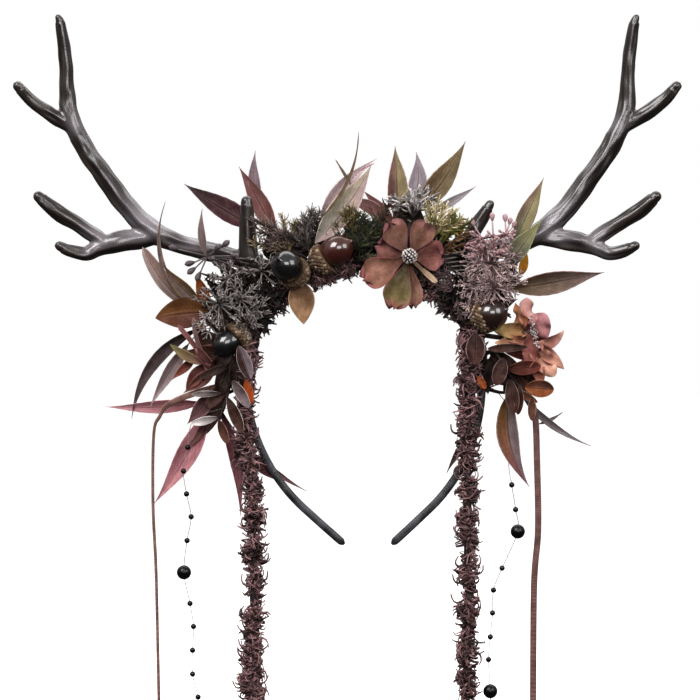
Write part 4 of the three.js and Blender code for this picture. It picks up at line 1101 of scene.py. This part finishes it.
ovalLeft = {
    "node": "oval_spray_left", "lift": 1.65, "slot": "leaf_oval", "stalk": "#2e1f1b", "outline": "oval",
    "finish": ovalFinish,
    # the pale rims are partly the leaves' own pale outline, partly painted highlight along their edges
    "tints": "#2a1916 #4a2f2a #a8948c",
    "stem": [onHoop(172, -4), (-74.2, -13, -42.9), (-75.9, -14, -62.7), (-80.9, -15, -79.8)],
    "leaves": [
        leaf((-70.4, -19, -39.6), (-63.8, -21, -57.8), 7.7, "#5a4e52 #857a80 #b0a4a4", half="#33221f"),
        leaf((-73.7, -19, -58.3), (-64.4, -21, -73.2), 6, "#3d3232 #7d7074 #d8d0ce"),
        leaf((-76.5, -18, -67.7), (-68.2, -19, -86.9), 6.6, "#2e1d19 #4a3028 #e0dad6"),
        leaf((-81.4, -15, -79.8), (-76.5, -17, -93), 5, "#3d2620 #5f3c30 #c8a898"),
        leaf((-80.3, -14, -65.5), (-96.3, -16, -66), 3.6, "#3a302e #8a8280 #e8e4e2"),
        leaf((-82, -15, -78.7), (-96.3, -17, -82), 4.6, "#6a6260 #d0ccca #f4f2f0"),
        leaf((-75.4, -14, -50.1), (-93, -15, -57.2), 4.6, "#1a1210 #3a241e #5a4038"),
        leaf((-72.6, -13, -39.1), (-85.8, -13, -55), 8, "#0f0908 #201311 #38241f"),
        leaf((-74.2, -12, -42.9), (-82, -13, -68.2), 9, "#0f0908 #241613 #3c2822"),
        leaf((-70.4, -14, -41.8), (-71.5, -15, -64.9), 9, "#0f0908 #201311 #38241f"),
        leaf((-75.9, -12, -57.2), (-88, -13, -73.7), 8, "#231715 #4a322c #6a4c42"),
        leaf((-66.6, -18, -57.8), (-63.3, -20, -71), 5, "#7a3a14 #a84e14 #b86a30"),
    ],
}
ovalRight = {
    "node": "oval_spray_right", "lift": 1.4, "slot": "leaf_oval", "stalk": "#2e1f1b", "outline": "oval",
    "finish": ovalFinish,
    # the pale rims are partly the leaves' own pale outline, partly painted highlight along their edges
    "tints": "#2e1b18 #4f322c #a08a84",
    "stem": [onHoop(12, -4), (68.2, -14, -42.9), (72.6, -16, -48.4), (79.2, -15, -58.3), (88, -14, -67.1)],
    "leaves": [
        leaf((58.3, -19, -32.5), (57.8, -22, -50.1), 10.6),
        leaf((73.7, -18, -46.2), (69.3, -19, -61.1), 8.2),
        leaf((86.4, -18, -40.2), (64.9, -18, -41.2), 4.8),
        leaf((75.9, -17, -52.3), (94.1, -17, -50.6), 8, "#3f1c15 #6a362c #946458"),
        leaf((85.2, -15, -62.2), (101.2, -15, -63.3), 9.6, "#6a3f2d #4a2e25 #a07860", half="#84502f"),
        leaf((77, -18, -57.8), (79.2, -19, -76.5), 7.7),
        leaf((82.5, -17, -61.1), (81.4, -18, -77), 5.2, "#33211c #5a382c #b8a090"),
        leaf((89.1, -15, -67.7), (89.1, -16, -80.3), 4.6, "#4a2d24 #6a4434 #d0b8a8"),
        leaf((59.4, -18, -56.1), (64, -19, -63), 3.8, "#7a3c1c #9a5020 #a86a38"),
        leaf((66, -13, -41.8), (83.6, -13, -56.1), 9, "#1d1311 #3a211b #5a3c32"),
        leaf((70.4, -13, -38.5), (92.4, -13, -46.2), 8, "#331814 #6a3226 #8a5646"),
        leaf((69.3, -12, -42.9), (66, -13, -61.6), 8, "#150f0e #2a1c18 #4a342c"),
        leaf((72.6, -13, -53.9), (88, -13, -64.9), 8, "#231512 #4a2a20 #6a4436"),
        leaf((78.1, -14, -62.7), (92.4, -14, -70.4), 4, "#4a2a1e #8a5a42 #e0d0c4"),
    ],
}
roundedLeft = {
    "node": "rounded_leaf_left", "lift": 1.25, "slot": "leaf_rust", "stalk": "#4a3226", "outline": "ovate",
    "stem": [onHoop(154, -2), (-74, -5, -25), (-88, -5, -21)],
    "leaves": [
        leaf(1, (-116.5, -7, -24.4), 17, "#5b3b33 #6d4735 #50342c", bow=1, half="#865c38"),
        leaf(0.96, (-94, -2, -1), 7, "#6a3a20 #a05c24 #c08a40"),
        leaf((-88.6, -9, -31.4), (-94.1, -10, -26.4), 4, "#8a5420 #b87428 #cc9a50"),
    ],
}
tanLeaf = {
    "node": "tan_leaf", "slot": "leaf_tan", "finish": petalFinish, "stalk": "#6a523c", "outline": "ovate",
    "stem": [onHoop(120, -4), (-37, -10, -1), (-38, -11, -4)],
    "leaves": [leaf(1, (-35.2, -13, -27.8), 14.5, "#80624a #c09a76 #dcc4a2", bow=-0.5)],
}
for piece in (willowLeftTop, willowLeftSide, willowLeftLow, willowLeftTail, willowCentreLeft, willowCentre,
              willowRight, willowRightTail, ovalLeft, ovalRight, roundedLeft, tanLeaf):
    makeSpray(piece)

# flowers: silk petals round a beaded heart

heartFinish = fibre("heartBeads", "#c6bcba", "#ffffff", rough=0.15, sheen=0.0)
# petal tints run from the base to the tip, then the edge; the dark bases are partly the petals' own colour,
# partly painted shade where they overlap round the heart
rose = "#5a3c32 #a47a68 #94606a"
mauve = "#5a3830 #98665e #8a5660"
blush = "#6a4638 #ae826f #b06a70"
olive = "#3f3524 #857850 #b0626c"
peach = "#5f4032 #b68c78 #c48a80"
tan = "#947c66 #bca68c #cdbca4"
flowers = {"receptacle": 2.8, "stem": (1.4, 1.3, 1.2), "beadShare": 0.15, "coreShare": 0.85, "glints": 60}
flowerFront = {
    "node": "flower_front", "root": onHoop(76, -4), "stem": (20, -9, 6), "at": (22, -14, 8.8),
    "axis": (0.05, -1, 0.05), "heart": 4.5, "beads": 58,
    "petals": [
        {"turn": 120, "length": 21, "width": 15, "spread": 78, "tints": rose},
        {"turn": 61, "length": 20.5, "width": 14, "spread": 75, "tints": rose},
        {"turn": 2, "length": 18.5, "width": 17, "spread": 80, "tints": mauve},
        {"turn": -44, "length": 22, "width": 3.2, "spread": 70, "tints": tan, "jag": 0.0},
        {"turn": -84, "length": 27, "width": 12, "spread": 94, "tints": peach},
        {"turn": -108, "length": 30, "width": 16, "spread": 78, "tints": olive},
        {"turn": 206, "length": 28, "width": 17, "spread": 80, "tints": blush},
        {"turn": 158, "length": 18, "width": 15, "spread": 92, "tints": mauve},
    ],
}
flowerSide = {
    "node": "flower_side", "root": onHoop(24, -4), "stem": (74, -7, -35), "at": (86, -12, -33),
    "axis": (0.85, -0.5, 0.12), "heart": 2.1, "beads": 40,
    "glint": [(88, -17, -22.6), (89.7, -18, -31.4), (92.4, -18, -41.2)],
    "placed": [  # a petal without a start begins at the flower's middle
        leaf(None, (86.4, -12, -13.2), 9.5, "#94645a #bd9890 #94666a", roll=20, outline="oval"),
        leaf(None, (80.3, -14, -16), 7, "#7a5238 #ac7e5e #8a5a4c", roll=-30),
        leaf((88, -12, -31.4), (68.2, -15, -31.4), 9, "#94704e #86754e #66683e"),
        leaf((88, -12, -36.3), (68.8, -16, -38), 6.5, "#7d5040 #a8846a #946a58"),
        leaf((89.1, -12, -38.5), (95.9, -15, -21.5), 13.5, "#6d4442 #a07678 #84565e", outline="oval"),
        leaf((89.7, -11, -40.2), (107, -12, -31), 6.5, "#8a5e50 #b08a80 #8f6264", bow=2.5),
        leaf((89.1, -11, -39.1), (107, -12, -52.3), 8, "#8a5e50 #b8907f #8f5c62", bow=-1),
        leaf((88.6, -12, -38.5), (101.8, -14, -56.1), 11.5, "#946858 #c09a88 #94626a", outline="oval"),
        leaf((89.1, -14, -33), (86.9, -17, -52.8), 9, "#5f3630 #8a5a54 #8a5a5c"),
        leaf((88.6, -12, -38.5), (94.6, -14, -60.5), 8, "#6a3a32 #a0705f #8a5a5c", outline="oval"),
        leaf((91.3, -15, -42.9), (95.2, -17, -36.3), 5, "#7a4a44 #a07468 #8a6060"),
    ],
}


def petal(shape, at, along, right, above, turn, length, width, spread, tints, jag=1.7, seed=0):
    steps, sides, thick = 26, 24, 0.5
    rng = np.random.default_rng(seed + 31)
    around, opened = math.radians(turn), math.radians(spread)
    out = right * math.cos(around) + above * math.sin(around)
    way = out * math.sin(opened) + along * math.cos(opened)
    face = along * math.sin(opened) - out * math.cos(opened)
    side = np.cross(way, face)
    t = np.linspace(0, 1, steps)
    start = at + way * flowers["receptacle"] * 0.4
    end = at + way * length
    line = bentLine(start, (start + end) / 2 - face * 2, end, t)
    wide = np.maximum(width * np.sin(np.pi * (0.05 + 0.83 * t) ** 1.8) ** 0.8, 2.0)
    wide = wide * np.where(t > 0.9, np.sqrt(np.maximum(1 - ((t - 0.9) / 0.12) ** 2, 0.02)), 1)  # rounded end
    angle = circle(sides)
    u, s = np.cos(angle), np.sin(angle)
    reachOut = jag * np.sin(u * rng.uniform(6, 8) + rng.uniform(0, 6))[None] * (t[:, None] ** 3)
    ripple = np.sin(u * 4.5 + rng.uniform(0, 6))[None] * t[:, None] ** 1.5 * 0.09 * width
    cup = 0.14 * wide[:, None] * u[None] ** 2
    rings = line[:, None] + side * (wide[:, None] / 2 * u[None])[..., None]
    rings = rings + way * reachOut[..., None] + face * (thick / 2 * s[None] + ripple + cup)[..., None]
    first, last, rim = (code * light for code, light in zip(colours(tints), (1.22, 1.22, 0.95)))
    # darker towards the heart: partly the petal's own colour, partly painted shade
    mix = (t ** 1.4)[:, None, None]
    tint = (1 - mix) * first + mix * last + np.zeros((steps, sides, 1))
    edge = np.clip((t[:, None, None] - 0.8) / 0.2, 0, 1)
    tint = (1 - edge * 0.7) * tint + edge * 0.7 * rim
    tint = np.vstack([tint.reshape(-1, 4), tint[0, 0], tint[-1, 0]])
    shape.add(rings, (line[0], rings[-1].mean(0)), u / 2 + 0.5, t, tint, rim)


def makeFlower(piece):
    at, along = np.asarray(piece["at"], float), unit(piece["axis"])
    right = unit(np.cross((0, 0, 1.0), along))
    above = np.cross(along, right)
    shape = Shape()
    tube(shape, [piece["root"], piece["stem"], at], flowers["stem"], steps=14, tint="#5a463a", finish=1)
    ball(shape, flowers["receptacle"], at, along, sides=16, tint="#6a523f", finish=1)
    for number, row in enumerate(piece.get("petals", [])):  # round the axis
        petal(shape, at, along, right, above, seed=number + len(piece["node"]), **row)
    for number, (start, to, width, tints, more) in enumerate(piece.get("placed", [])):
        more = {"outline": "ovate", "fold": 0.2, "wave": 0.34, "lift": 2.0, **more}
        leafShell(shape, start or at, to, width, tints, seed=number, **more)
    node = piece["node"] + "_petals"
    settle([shape.build(node, [petalFinish, stalkFinish])], node)

    heart, node = piece["heart"], piece["node"] + "_heart"
    middle = at + along * (flowers["receptacle"] + 0.3 + heart)
    ways = ballDirections(piece["beads"])
    size = heart * flowers["beadShare"]
    uneven = np.random.default_rng(9).uniform(0.86, 1.0, (len(ways), 1))
    rows = np.column_stack([middle + ways * (heart - size) * uneven, size * 1.2 * uneven])
    if "glint" in piece:  # more beads in a row where the flower is seen edge on
        count = flowers["glints"]
        line = smoothLine(piece["glint"], count) + np.random.default_rng(4).normal(0, 0.7, (count, 3))
        rows = np.vstack([rows, np.column_stack([line, np.full(count, 0.42)])])
    beads = beadsOn(piece["node"] + "_beads", rows, heartFinish, segments=8, rings=6)
    core = Shape()
    ball(core, flowers["coreShare"] * heart, middle, along, sides=18, tint="#241a1a")
    settle([beads, core.build(piece["node"] + "_core", [stalkFinish])], node)


makeFlower(flowerFront)
makeFlower(flowerSide)

# acorns: glossy nuts in scaly caps

nutFinish = tinted("acornNut", rough=0.32, spread=0.3, bump=0.03, scale=120.0, Coat_Weight=1.0,
                   Coat_Roughness=0.07, Coat_IOR=1.7)
capFinish = fibre("acornCap", "#5e4836", "#f2d8b4", rough=0.7, sheen=0.1)
capInner = tinted("acornCapInner", rough=0.75, spread=0.5, bump=0.5, scale=300.0)
acorns = {
    "capRadius": 8.8, "scales": 130,
    "nut": [(0, -5), (0.4, -4.7), (0.66, -4), (0.9, -1.5), (0.98, 1), (1, 3.5), (0.96, 6), (0.85, 8.4),
            (0.66, 10.4), (0.42, 11.8), (0.2, 12.5), (0.12, 13.2), (0.05, 13.9), (0, 14)],
    "cap": [(0, -13), (0.12, -13), (0.17, -10), (0.2, -7.8), (0.42, -7.2), (0.7, -5.8), (0.88, -3.8),
            (0.96, -1.2), (0.96, 1.2), (0.9, 2), (0, 2)],
    "scaled": slice(3, 9),  # the rows of the cap that carry scales
    "rows": [
        {"node": "acorn_a", "at": (-40.4, -15.5, 0.3), "axis": (-0.47, -0.78, 0.42), "radius": 8.5,
         "out": 4.5, "tint": "#100d10", "slot": "nut_black"},
        {"node": "acorn_b", "at": (-24, -11, 8), "axis": (0.8, -0.3, 0.52), "radius": 8.3,
         "out": 5.5, "tint": "#4c2017", "slot": "nut_brown"},
        {"node": "acorn_c", "at": (-72.4, -9.6, -34.2), "axis": (-0.72, -0.32, -0.62), "radius": 7.4,
         "out": 2.5, "tint": "#100d10", "slot": "nut_black"},
        {"node": "acorn_d", "at": (64, -14, -23.5), "axis": (0.86, -0.4, 0.3), "radius": 8.8,
         "out": 0, "tint": "#33201a", "slot": "nut_brown"},
    ],
}


def makeAcorn(row):
    at, axis, count = np.asarray(row["at"], float), unit(row["axis"]), acorns["scales"]
    shape, node = Shape(), row["node"] + "_nut"
    profile = [(r * row["radius"], h) for r, h in acorns["nut"]]
    lathe(shape, profile, at + axis * row["out"], axis, sides=32, tint=row["tint"])
    settle([shape.build(node, [nutFinish])], node)
    shape, node = Shape(), row["node"] + "_cap"
    profile = [(r * acorns["capRadius"], h) for r, h in acorns["cap"]]
    lathe(shape, profile, at, axis, sides=28, tint="#6a523c")
    inner = shape.build(row["node"] + "_inner", [capInner])
    side, other = crossways(axis)
    profile = np.array(acorns["cap"][acorns["scaled"]])
    share = np.sqrt((np.arange(count) + 0.5) / count) * (len(profile) - 1)
    radius = np.interp(share, range(len(profile)), profile[:, 0]) * acorns["capRadius"]
    height = np.interp(share, range(len(profile)), profile[:, 1])
    turn = np.arange(count) * goldenTurn
    ring = side * np.cos(turn)[:, None] + other * np.sin(turn)[:, None]
    places = at + ring * radius[:, None] + axis * height[:, None]
    facing = unit(ring * radius[:, None] + axis * (height[:, None] - 1.0))
    rows = np.column_stack([places - facing * 0.2, 0.85 + 0.4 * share / share.max()])
    scales = beadsOn(row["node"] + "_scales", rows, capFinish, segments=8, rings=5, flatness=0.85,
                     facing=facing)
    settle([scales, inner], node)


for row in acorns["rows"]:
    makeAcorn(row)

# strings of beads on a clear thread

beadFinish = fibre("blackBead", "#060607", "#1a1a1d", rough=0.14, sheen=0.0)
threadFinish = tinted("clearThread", rough=0.3, spread=0.2, bump=0.1, scale=400.0, Transmission_Weight=0.5)
strings = {"thread": 0.2, "small": 1.5, "big": 3.9}
stringLeft = {
    "node": "bead_string_left", "back": -9, "lead": [(-65, -2, -72), (-84, -6, -75), (-96, -9, -81)],
    "beads": [(-98.7, -95, 0), (-101, -108, 0), (-99.3, -120.5, 0), (-96.8, -133, 0), (-99, -146, 0),
              (-100.7, -163.4, 1), (-97.4, -180.4, 0), (-95.5, -193, 0), (-96, -206, 0), (-96, -219, 0),
              (-93, -231.6, 0)],  # across, up, 1 for a big one
}
stringRight = {
    "node": "bead_string_right", "back": -10, "lead": [(71, 2, -64), (77.4, 4, -76), (77.5, 3, -104)],
    "beads": [(78.5, -115.5, 0), (80.6, -129, 0), (81.8, -141, 1), (73.2, -161, 0), (68.5, -173, 0),
              (68, -185.5, 0), (66.8, -198.6, 0), (65.8, -211, 0), (66.8, -228.3, 1)],
}


def makeString(piece):
    places = [(x, piece["back"], z) for x, z, _ in piece["beads"]]
    line = [*piece["lead"], *places, (places[-1][0], piece["back"], hangEnd)]
    shape = Shape()
    tube(shape, line, [strings["thread"]] * len(line), sides=6, steps=160, tint="#b9b4b2")
    thread = shape.build(piece["node"] + "_thread", [threadFinish])
    sizes = [strings["big"] if big else strings["small"] for _, _, big in piece["beads"]]
    rows = np.column_stack([places, sizes])
    beads = beadsOn(piece["node"] + "_beads", rows, beadFinish, segments=24, rings=16)
    settle([beads, thread], piece["node"])


makeString(stringLeft)
makeString(stringRight)

# sprigs: needles along a stem


def fan(root, back, tips):  # twigs that part from one root; tips are across and up
    middles = [((root[0] + x) / 2, (root[1] + back) / 2 - 1, (root[2] + z) / 2 + 1) for x, z in tips]
    return [[root, middle, (x, back, z)] for middle, (x, z) in zip(middles, tips)]


sprigs = {
    "thickness": 0.06, "shortest": 0.6, "twig": (0.6, 0.5, 0.3),
    "rows": [
        {"node": "sprig_gold", "slot": "sprig_gold",
         "low": "#4a3828", "high": "#d0ba94", "needle": 6, "count": 80,
         "stem": [onHoop(122, -3), (-44, -6, 14), (-47, -5, 30)],
         "twigs": [[(-41, -7, 8), (-49, -8, 20), (-57, -8, 26)], [(-40, -7, 8), (-52, -9, 14), (-62, -9, 17)],
                   [(-42, -6, 12), (-41, -7, 20), (-40, -6, 27)],
                   [(-40, -6, 8), (-44, -8, 12), (-47, -9, 17)]]},
        {"node": "sprig_dark", "slot": "sprig_dark",
         "low": "#161010", "high": "#665650", "needle": 7, "count": 60,
         "stem": [onHoop(113, -3), (-29, -5, 16), (-28, -5, 30)],
         "twigs": [[(-28, -6, 8), (-36, -8, 16), (-44, -9, 20)],
                   [(-27, -5, 10), (-33, -6, 19), (-36, -6, 25)],
                   [(-28, -4, 6), (-36, -6, 9), (-46, -7, 13)], [(-24, -5, 8), (-22, -6, 15), (-19, -7, 20)],
                   [(-30, -5, 6), (-45, -9, 8), (-58, -10, 6)],
                   [(-28, -6, 4), (-20, -9, 10), (-14, -10, 18)]],
         "others": [
             ("#241a1a", "#a08a86", fan((-40.7, -6, 13.2), -9, [
                 (-61.1, 29.2), (-57.8, 22.6), (-53.9, 27.5), (-55.6, 16), (-47.9, 20.9)])),
             ("#1a1413", "#9a8e8a", fan((-33.6, -5, 13.2), -6, [
                 (-39.1, 25.9), (-35.2, 30.3), (-31.4, 32.5), (-27.5, 31.9), (-40.2, 20.4)])),
         ]},
        {"node": "sprig_green", "slot": "sprig_green",
         "low": "#1e1c12", "high": "#84805a", "needle": 6.5, "count": 60,
         "stem": [onHoop(99, -4), (-9, -8, 15), (-9, -7, 30)],
         "twigs": [[(-6, -6, 12), (-5, -7, 23), (-3, -6, 31)], [(-8, -6, 12), (0, -8, 21), (4, -8, 27)],
                   [(-9, -8, 8), (-3, -10, 16), (3, -11, 20)], [(-9, -8, 10), (-14, -9, 18), (-17, -9, 25)],
                   [(-9, -8, 6), (-2, -11, 9), (6, -12, 9)]],
         "others": [
             ("#10110d", "#54563f", fan((-3.3, -7, 8.8), -10, [
                 (-9.9, 23.1), (-6.1, 26.4), (-2.2, 28.6), (2.2, 27.5), (6.1, 24.8), (-6.6, 17.6),
                 (2.8, 17.1)])),
             ("#332c16", "#a69664", fan((-8.8, -7, 18.2), -10, [
                 (-13.2, 33), (-9.9, 34.7), (-6.1, 32.5), (-11.6, 27.5)])),
         ]},
        {"node": "sprig_brown", "slot": "sprig_brown",
         "low": "#2f2219", "high": "#7a5e48", "needle": 7, "count": 60,
         "stem": [onHoop(88, -3), (5, -5, 20), (11, -3, 38)],
         "twigs": [[(4, -6, 14), (5, -7, 24), (5, -6, 31)], [(6, -6, 16), (13, -7, 26), (17, -6, 33)]]},
        {"node": "sprig_grey", "slot": "sprig_grey",
         "low": "#5c5652", "high": "#dcd6d0", "needle": 7, "count": 26,
         "stem": [onHoop(71, -2), (24, -2, 22), (25, 0, 41)], "twigs": [], "thickness": 0.12,
         "others": [
             ("#4a3e3c", "#ece6e2", fan((24.8, -6, 30.8), -9, [
                 (14.9, 40.7), (18.7, 36.9), (22, 41.2), (26.4, 44), (30.8, 44.6), (34.1, 41.2)])),
         ]},
        {"node": "sprig_olive", "slot": "sprig_gold",
         "low": "#7d7038", "high": "#ecdcb8", "needle": 6.5, "count": 36,
         "stem": [onHoop(60, -3), (38, -6, 16), (49, -5, 28)], "thickness": 0.105,
         "twigs": fan((35.2, -7, 19.8), -9, [(33, 36.3), (38, 38), (41.8, 35.8), (46.2, 32.5), (50.1, 29.2)]),
         "others": [
             ("#4a4a20", "#96924c", [[(38, -7, 14), (46, -9, 22), (54, -9, 27)],
                                     [(38, -7, 14), (44, -9, 24), (47, -9, 29)]]),
             ("#4a3020", "#9a7450", [[(36, -7, 8), (44, -9, 13), (52, -9, 15)],
                                     [(38, -7, 10), (46, -9, 17), (53, -9, 22)]]),
         ]},
        {"node": "sprig_pink", "slot": "sprig_grey",
         "low": "#4a3838", "high": "#a58a88", "needle": 5.5, "count": 46,
         "stem": [onHoop(46, -4), (46, -11, -7), (42, -15, 1)],
         "twigs": [[(46, -11, -7), (42, -14, -3), (38, -15, 0)],
                   [(47, -11, -9), (44, -14, -8), (40, -15, -7)],
                   [(48, -11, -12), (49, -14, -16), (50, -15, -22)],
                   [(50, -11, -12), (53, -14, -13), (56, -15, -18)]]},
    ],
}


def makeSprig(row, seed):
    shape, parts, node = Shape(), [], row["node"]
    stemTube(shape, row["stem"], (1.0, 0.45), 20, row["low"])
    lengths = (row["needle"] * sprigs["shortest"], row["needle"])
    thickness = row.get("thickness", sprigs["thickness"])
    groups = [(row["low"], row["high"], row["twigs"]), *row.get("others", [])]
    for number, (low, high, twigs) in enumerate(groups):
        lines = [] if number else [smoothLine(row["stem"], 60)[24:]]  # the stem is bare near its root
        for twig in twigs:
            tube(shape, twig, sprigs["twig"], sides=6, steps=12, tint=low)
            lines.append(smoothLine(twig, 30)[6:])
        finish = fibre(node + "Needles" + str(number), low, high, rough=0.45, sheen=0.1)
        parts.append(strandsOn(node + "_needles", lines, finish, count=row["count"], steps=3, lengths=lengths,
                               thickness=thickness, lean=(0.3, 1.0), seed=seed + number))
    parts.append(shape.build(node + "_stem", [stalkFinish]))
    settle(parts, node)


for number, row in enumerate(sprigs["rows"]):
    makeSprig(row, 40 + number)

# umbels: stalks that radiate from hubs

# the dark mat stands partly for dark foliage and partly for painted shade between the umbel's stalks
matFinish = fibre("stalkMat", "#120d0d", "#463633", rough=0.5, sheen=0.05)
umbelLeft = {
    "node": "umbel_left", "low": "#453b3a", "high": "#d2c8c4", "tuft": (2.2, 4.6), "strands": 12,
    "thick": 0.62, "lean": (0.3, 0.95), "seed": 60,
    "stem": [onHoop(146, -4), (-69, -13, -15), (-81, -16, -17)],
    "mats": [(-68, -9, -12, 15), (-59, -8, -2, 13), (-77, -9, -10, 12), (-64, -8, -25, 11),
             (-56, -8, -14, 10)],  # place and size
    "hubs": [((-81, -16, -17), 15, 13), ((-70, -15, -14), 12, 11), ((-63, -13, -20), 11, 7),
             ((-58, -12, 1), 10, 9), ((-76, -14, -3), 11, 10), ((-86, -14, -28), 9, 8),
             ((-66, -14, -27), 9, 6)],
}
umbelRight = {
    "node": "umbel_right", "low": "#7a6260", "high": "#f4dcd8", "tuft": (2.4, 4.8), "strands": 9,
    "thick": 0.6, "lean": (0.25, 0.7), "seed": 70,
    "stem": [onHoop(40, -4), (58, -11, -9), (69, -13, 1)],
    "mats": [(66, -9, 1, 13), (67, -9, -9, 13), (55, -9, -6, 11), (50, -8, -12, 9), (58, -9, -18, 9)],
    "hubs": [((67, -14, 5), 16, 34), ((68, -15, -8), 14, 28), ((57, -13, -6), 10, 16), ((77, -12, -5), 9, 14),
             ((59, -13, 5), 9, 14), ((58, -13, -17), 9, 12)],  # place, reach, spokes
}


def makeUmbel(piece):
    rng = np.random.default_rng(piece["seed"])
    shape, lines, node = Shape(), [], piece["node"]
    low, high, thick = piece["low"], piece["high"], piece["thick"]
    stemTube(shape, piece["stem"], (1.1, 0.8), 20, low)
    for hub, reach, spokes in piece["hubs"]:
        hub = np.asarray(hub, float)
        ways = ballDirections(2 * spokes)
        ways = ways[ways[:, 2] > 0][:, [0, 2, 1]] * (1, -0.75, 1)  # a dome towards the front
        for way in ways:
            way = unit(way + rng.normal(0, 0.08, 3))
            end = hub + way * reach * rng.uniform(0.6, 0.92)
            bend = (hub + end) / 2 + rng.normal(0, 0.6, 3)
            # lighter towards the ends: partly the stalks' own colour, partly painted highlight on their tips
            tube(shape, [hub, bend, end], (thick, thick * 0.8, 0.3), sides=5, steps=6, tint=low, endTint=high)
            lines.append(smoothLine([bend, (bend + end) / 2, end], 5))
    stalks = shape.build(node + "_stem", [stalkFinish])
    dark = []  # a dark mat behind the stalks: partly dark foliage, partly painted shade between the stalks
    for *middle, size in piece["mats"]:
        for place in rng.normal(0, 1, (42, 3)):
            start = np.array(middle) + np.clip(place, -1.6, 1.6) * (size * 0.5, 1.6, size * 0.5)
            dark.append([start, start + unit(rng.normal(0, 1, 3) * (1, 0.4, 1)) * 1.5])
    mat = strandsOn(node + "_mat", dark, matFinish, count=4, steps=3, lengths=(3.5, 7), thickness=0.13,
                    lean=(0.1, 1.0), seed=piece["seed"] + 1)
    # strands lighter at their tips: partly their own colour, partly painted highlight
    finish = fibre(node + "Heads", low, high, rough=0.42, sheen=0.05, tipShare=0.6)
    heads = strandsOn(node + "_heads", lines, finish, count=piece["strands"], steps=4, lengths=piece["tuft"],
                      thickness=0.1, lean=piece["lean"], seed=piece["seed"])
    settle([heads, mat, stalks], node)


makeUmbel(umbelLeft)
makeUmbel(umbelRight)

# bud sprays: stalks with a bud at the end of each

budProfile = [  # radius and height, as shares of the bud's radius
    (0.1, -2.2), (0.4, -1.8), (0.75, -1.0), (1.0, -0.1), (0.92, 0.5), (0.6, 1.0), (0.2, 1.35), (0.02, 1.45),
]
budLeft = {
    "node": "bud_sprig_left", "slot": "bud_dark", "low": "#4a4042", "high": "#7d7072",
    "stem": [onHoop(132, -4), (-58, -9, 3), (-75, -8, 7), (-88, -8, 9.4)],
    "buds": [(-98, -9, 5.5, 1.7), (-97, -10, 1.2, 1.7), (-93, -11, -2, 1.7), (-107, -8, 14.3, 1.6),
             (-82, -11, 14.5, 1.7), (-77.5, -11, 16.5, 1.7)],
    "leaf": leaf((-88.5, -9, 9), (-90.7, -9, 35.6), 4.4, "#6f605e #8f7d7c #a8989a", bow=-1.5),
    "more": ((-90, -12, -2), (-60, -9, 16), 9, 1.3),  # low corner, high corner, count, radius
}
budRight = {
    "node": "bud_spray_right", "slot": "bud_pink", "low": "#9a7478", "high": "#dcb8ba",
    "stem": [onHoop(54, -4), (47, -9, 4), (55, -9, 17)],
    "buds": [(67.7, -12, 31.4, 1.5), (74.8, -12, 30.8, 1.5), (77.6, -11, 29, 1.4), (80, -11, 27, 1.4),
             (57.2, -10, 28, 1.4), (79.4, -11, 22.6, 1.4), (72, -14, 20, 1.3), (61, -15, 13, 1.3)],
    "more": ((54, -27, 7), (80, -15, 24), 90, 0.8),
    "forks": [(62, -15, 19), (68, -17, 20), (62, -18, 12), (68, -19, 13), (74, -16, 16), (75, -17, 21)],
}


def makeBuds(piece):
    shape, low, high = Shape(), piece["low"], piece["high"]
    stemTube(shape, piece["stem"], (1.0, 0.6), 24, low)
    hub = np.asarray(piece["stem"][-1], float)
    rng = np.random.default_rng(17)
    lowCorner, highCorner, extra, size = piece["more"]
    more = [(*rng.uniform(lowCorner, highCorner), size * rng.uniform(0.75, 1.1)) for _ in range(extra)]
    forks = np.asarray(piece.get("forks", [hub]), float)
    for fork in forks:
        middle = (hub + fork) / 2 + (0, 0, 0.6)
        tube(shape, [hub, middle, fork], (0.7, 0.6, 0.5), sides=6, steps=10, tint=low)
    for *tip, radius in piece["buds"] + more:
        tip = np.asarray(tip)
        fork = forks[np.linalg.norm(forks - tip, axis=1).argmin()]
        way = unit(tip - fork + (0, 0, 1.5))
        neck = tip - way * 2 * radius
        line = [fork, (fork + neck) / 2, neck]
        tube(shape, line, (0.5, 0.42, 0.4), sides=6, steps=10, tint=low, endTint=high)
        profile = [(r * radius, h * radius) for r, h in budProfile]
        lathe(shape, profile, tip, way, sides=14, tint=low, endTint=high)
    if "leaf" in piece:
        base, to, width, tints, more = piece["leaf"]
        leafShell(shape, base, to, width, tints, finish=1, **more)
    settle([shape.build(piece["node"], [budFinish, leafFinish])], piece["node"])


makeBuds(budLeft)
makeBuds(budRight)
print("all pieces made")
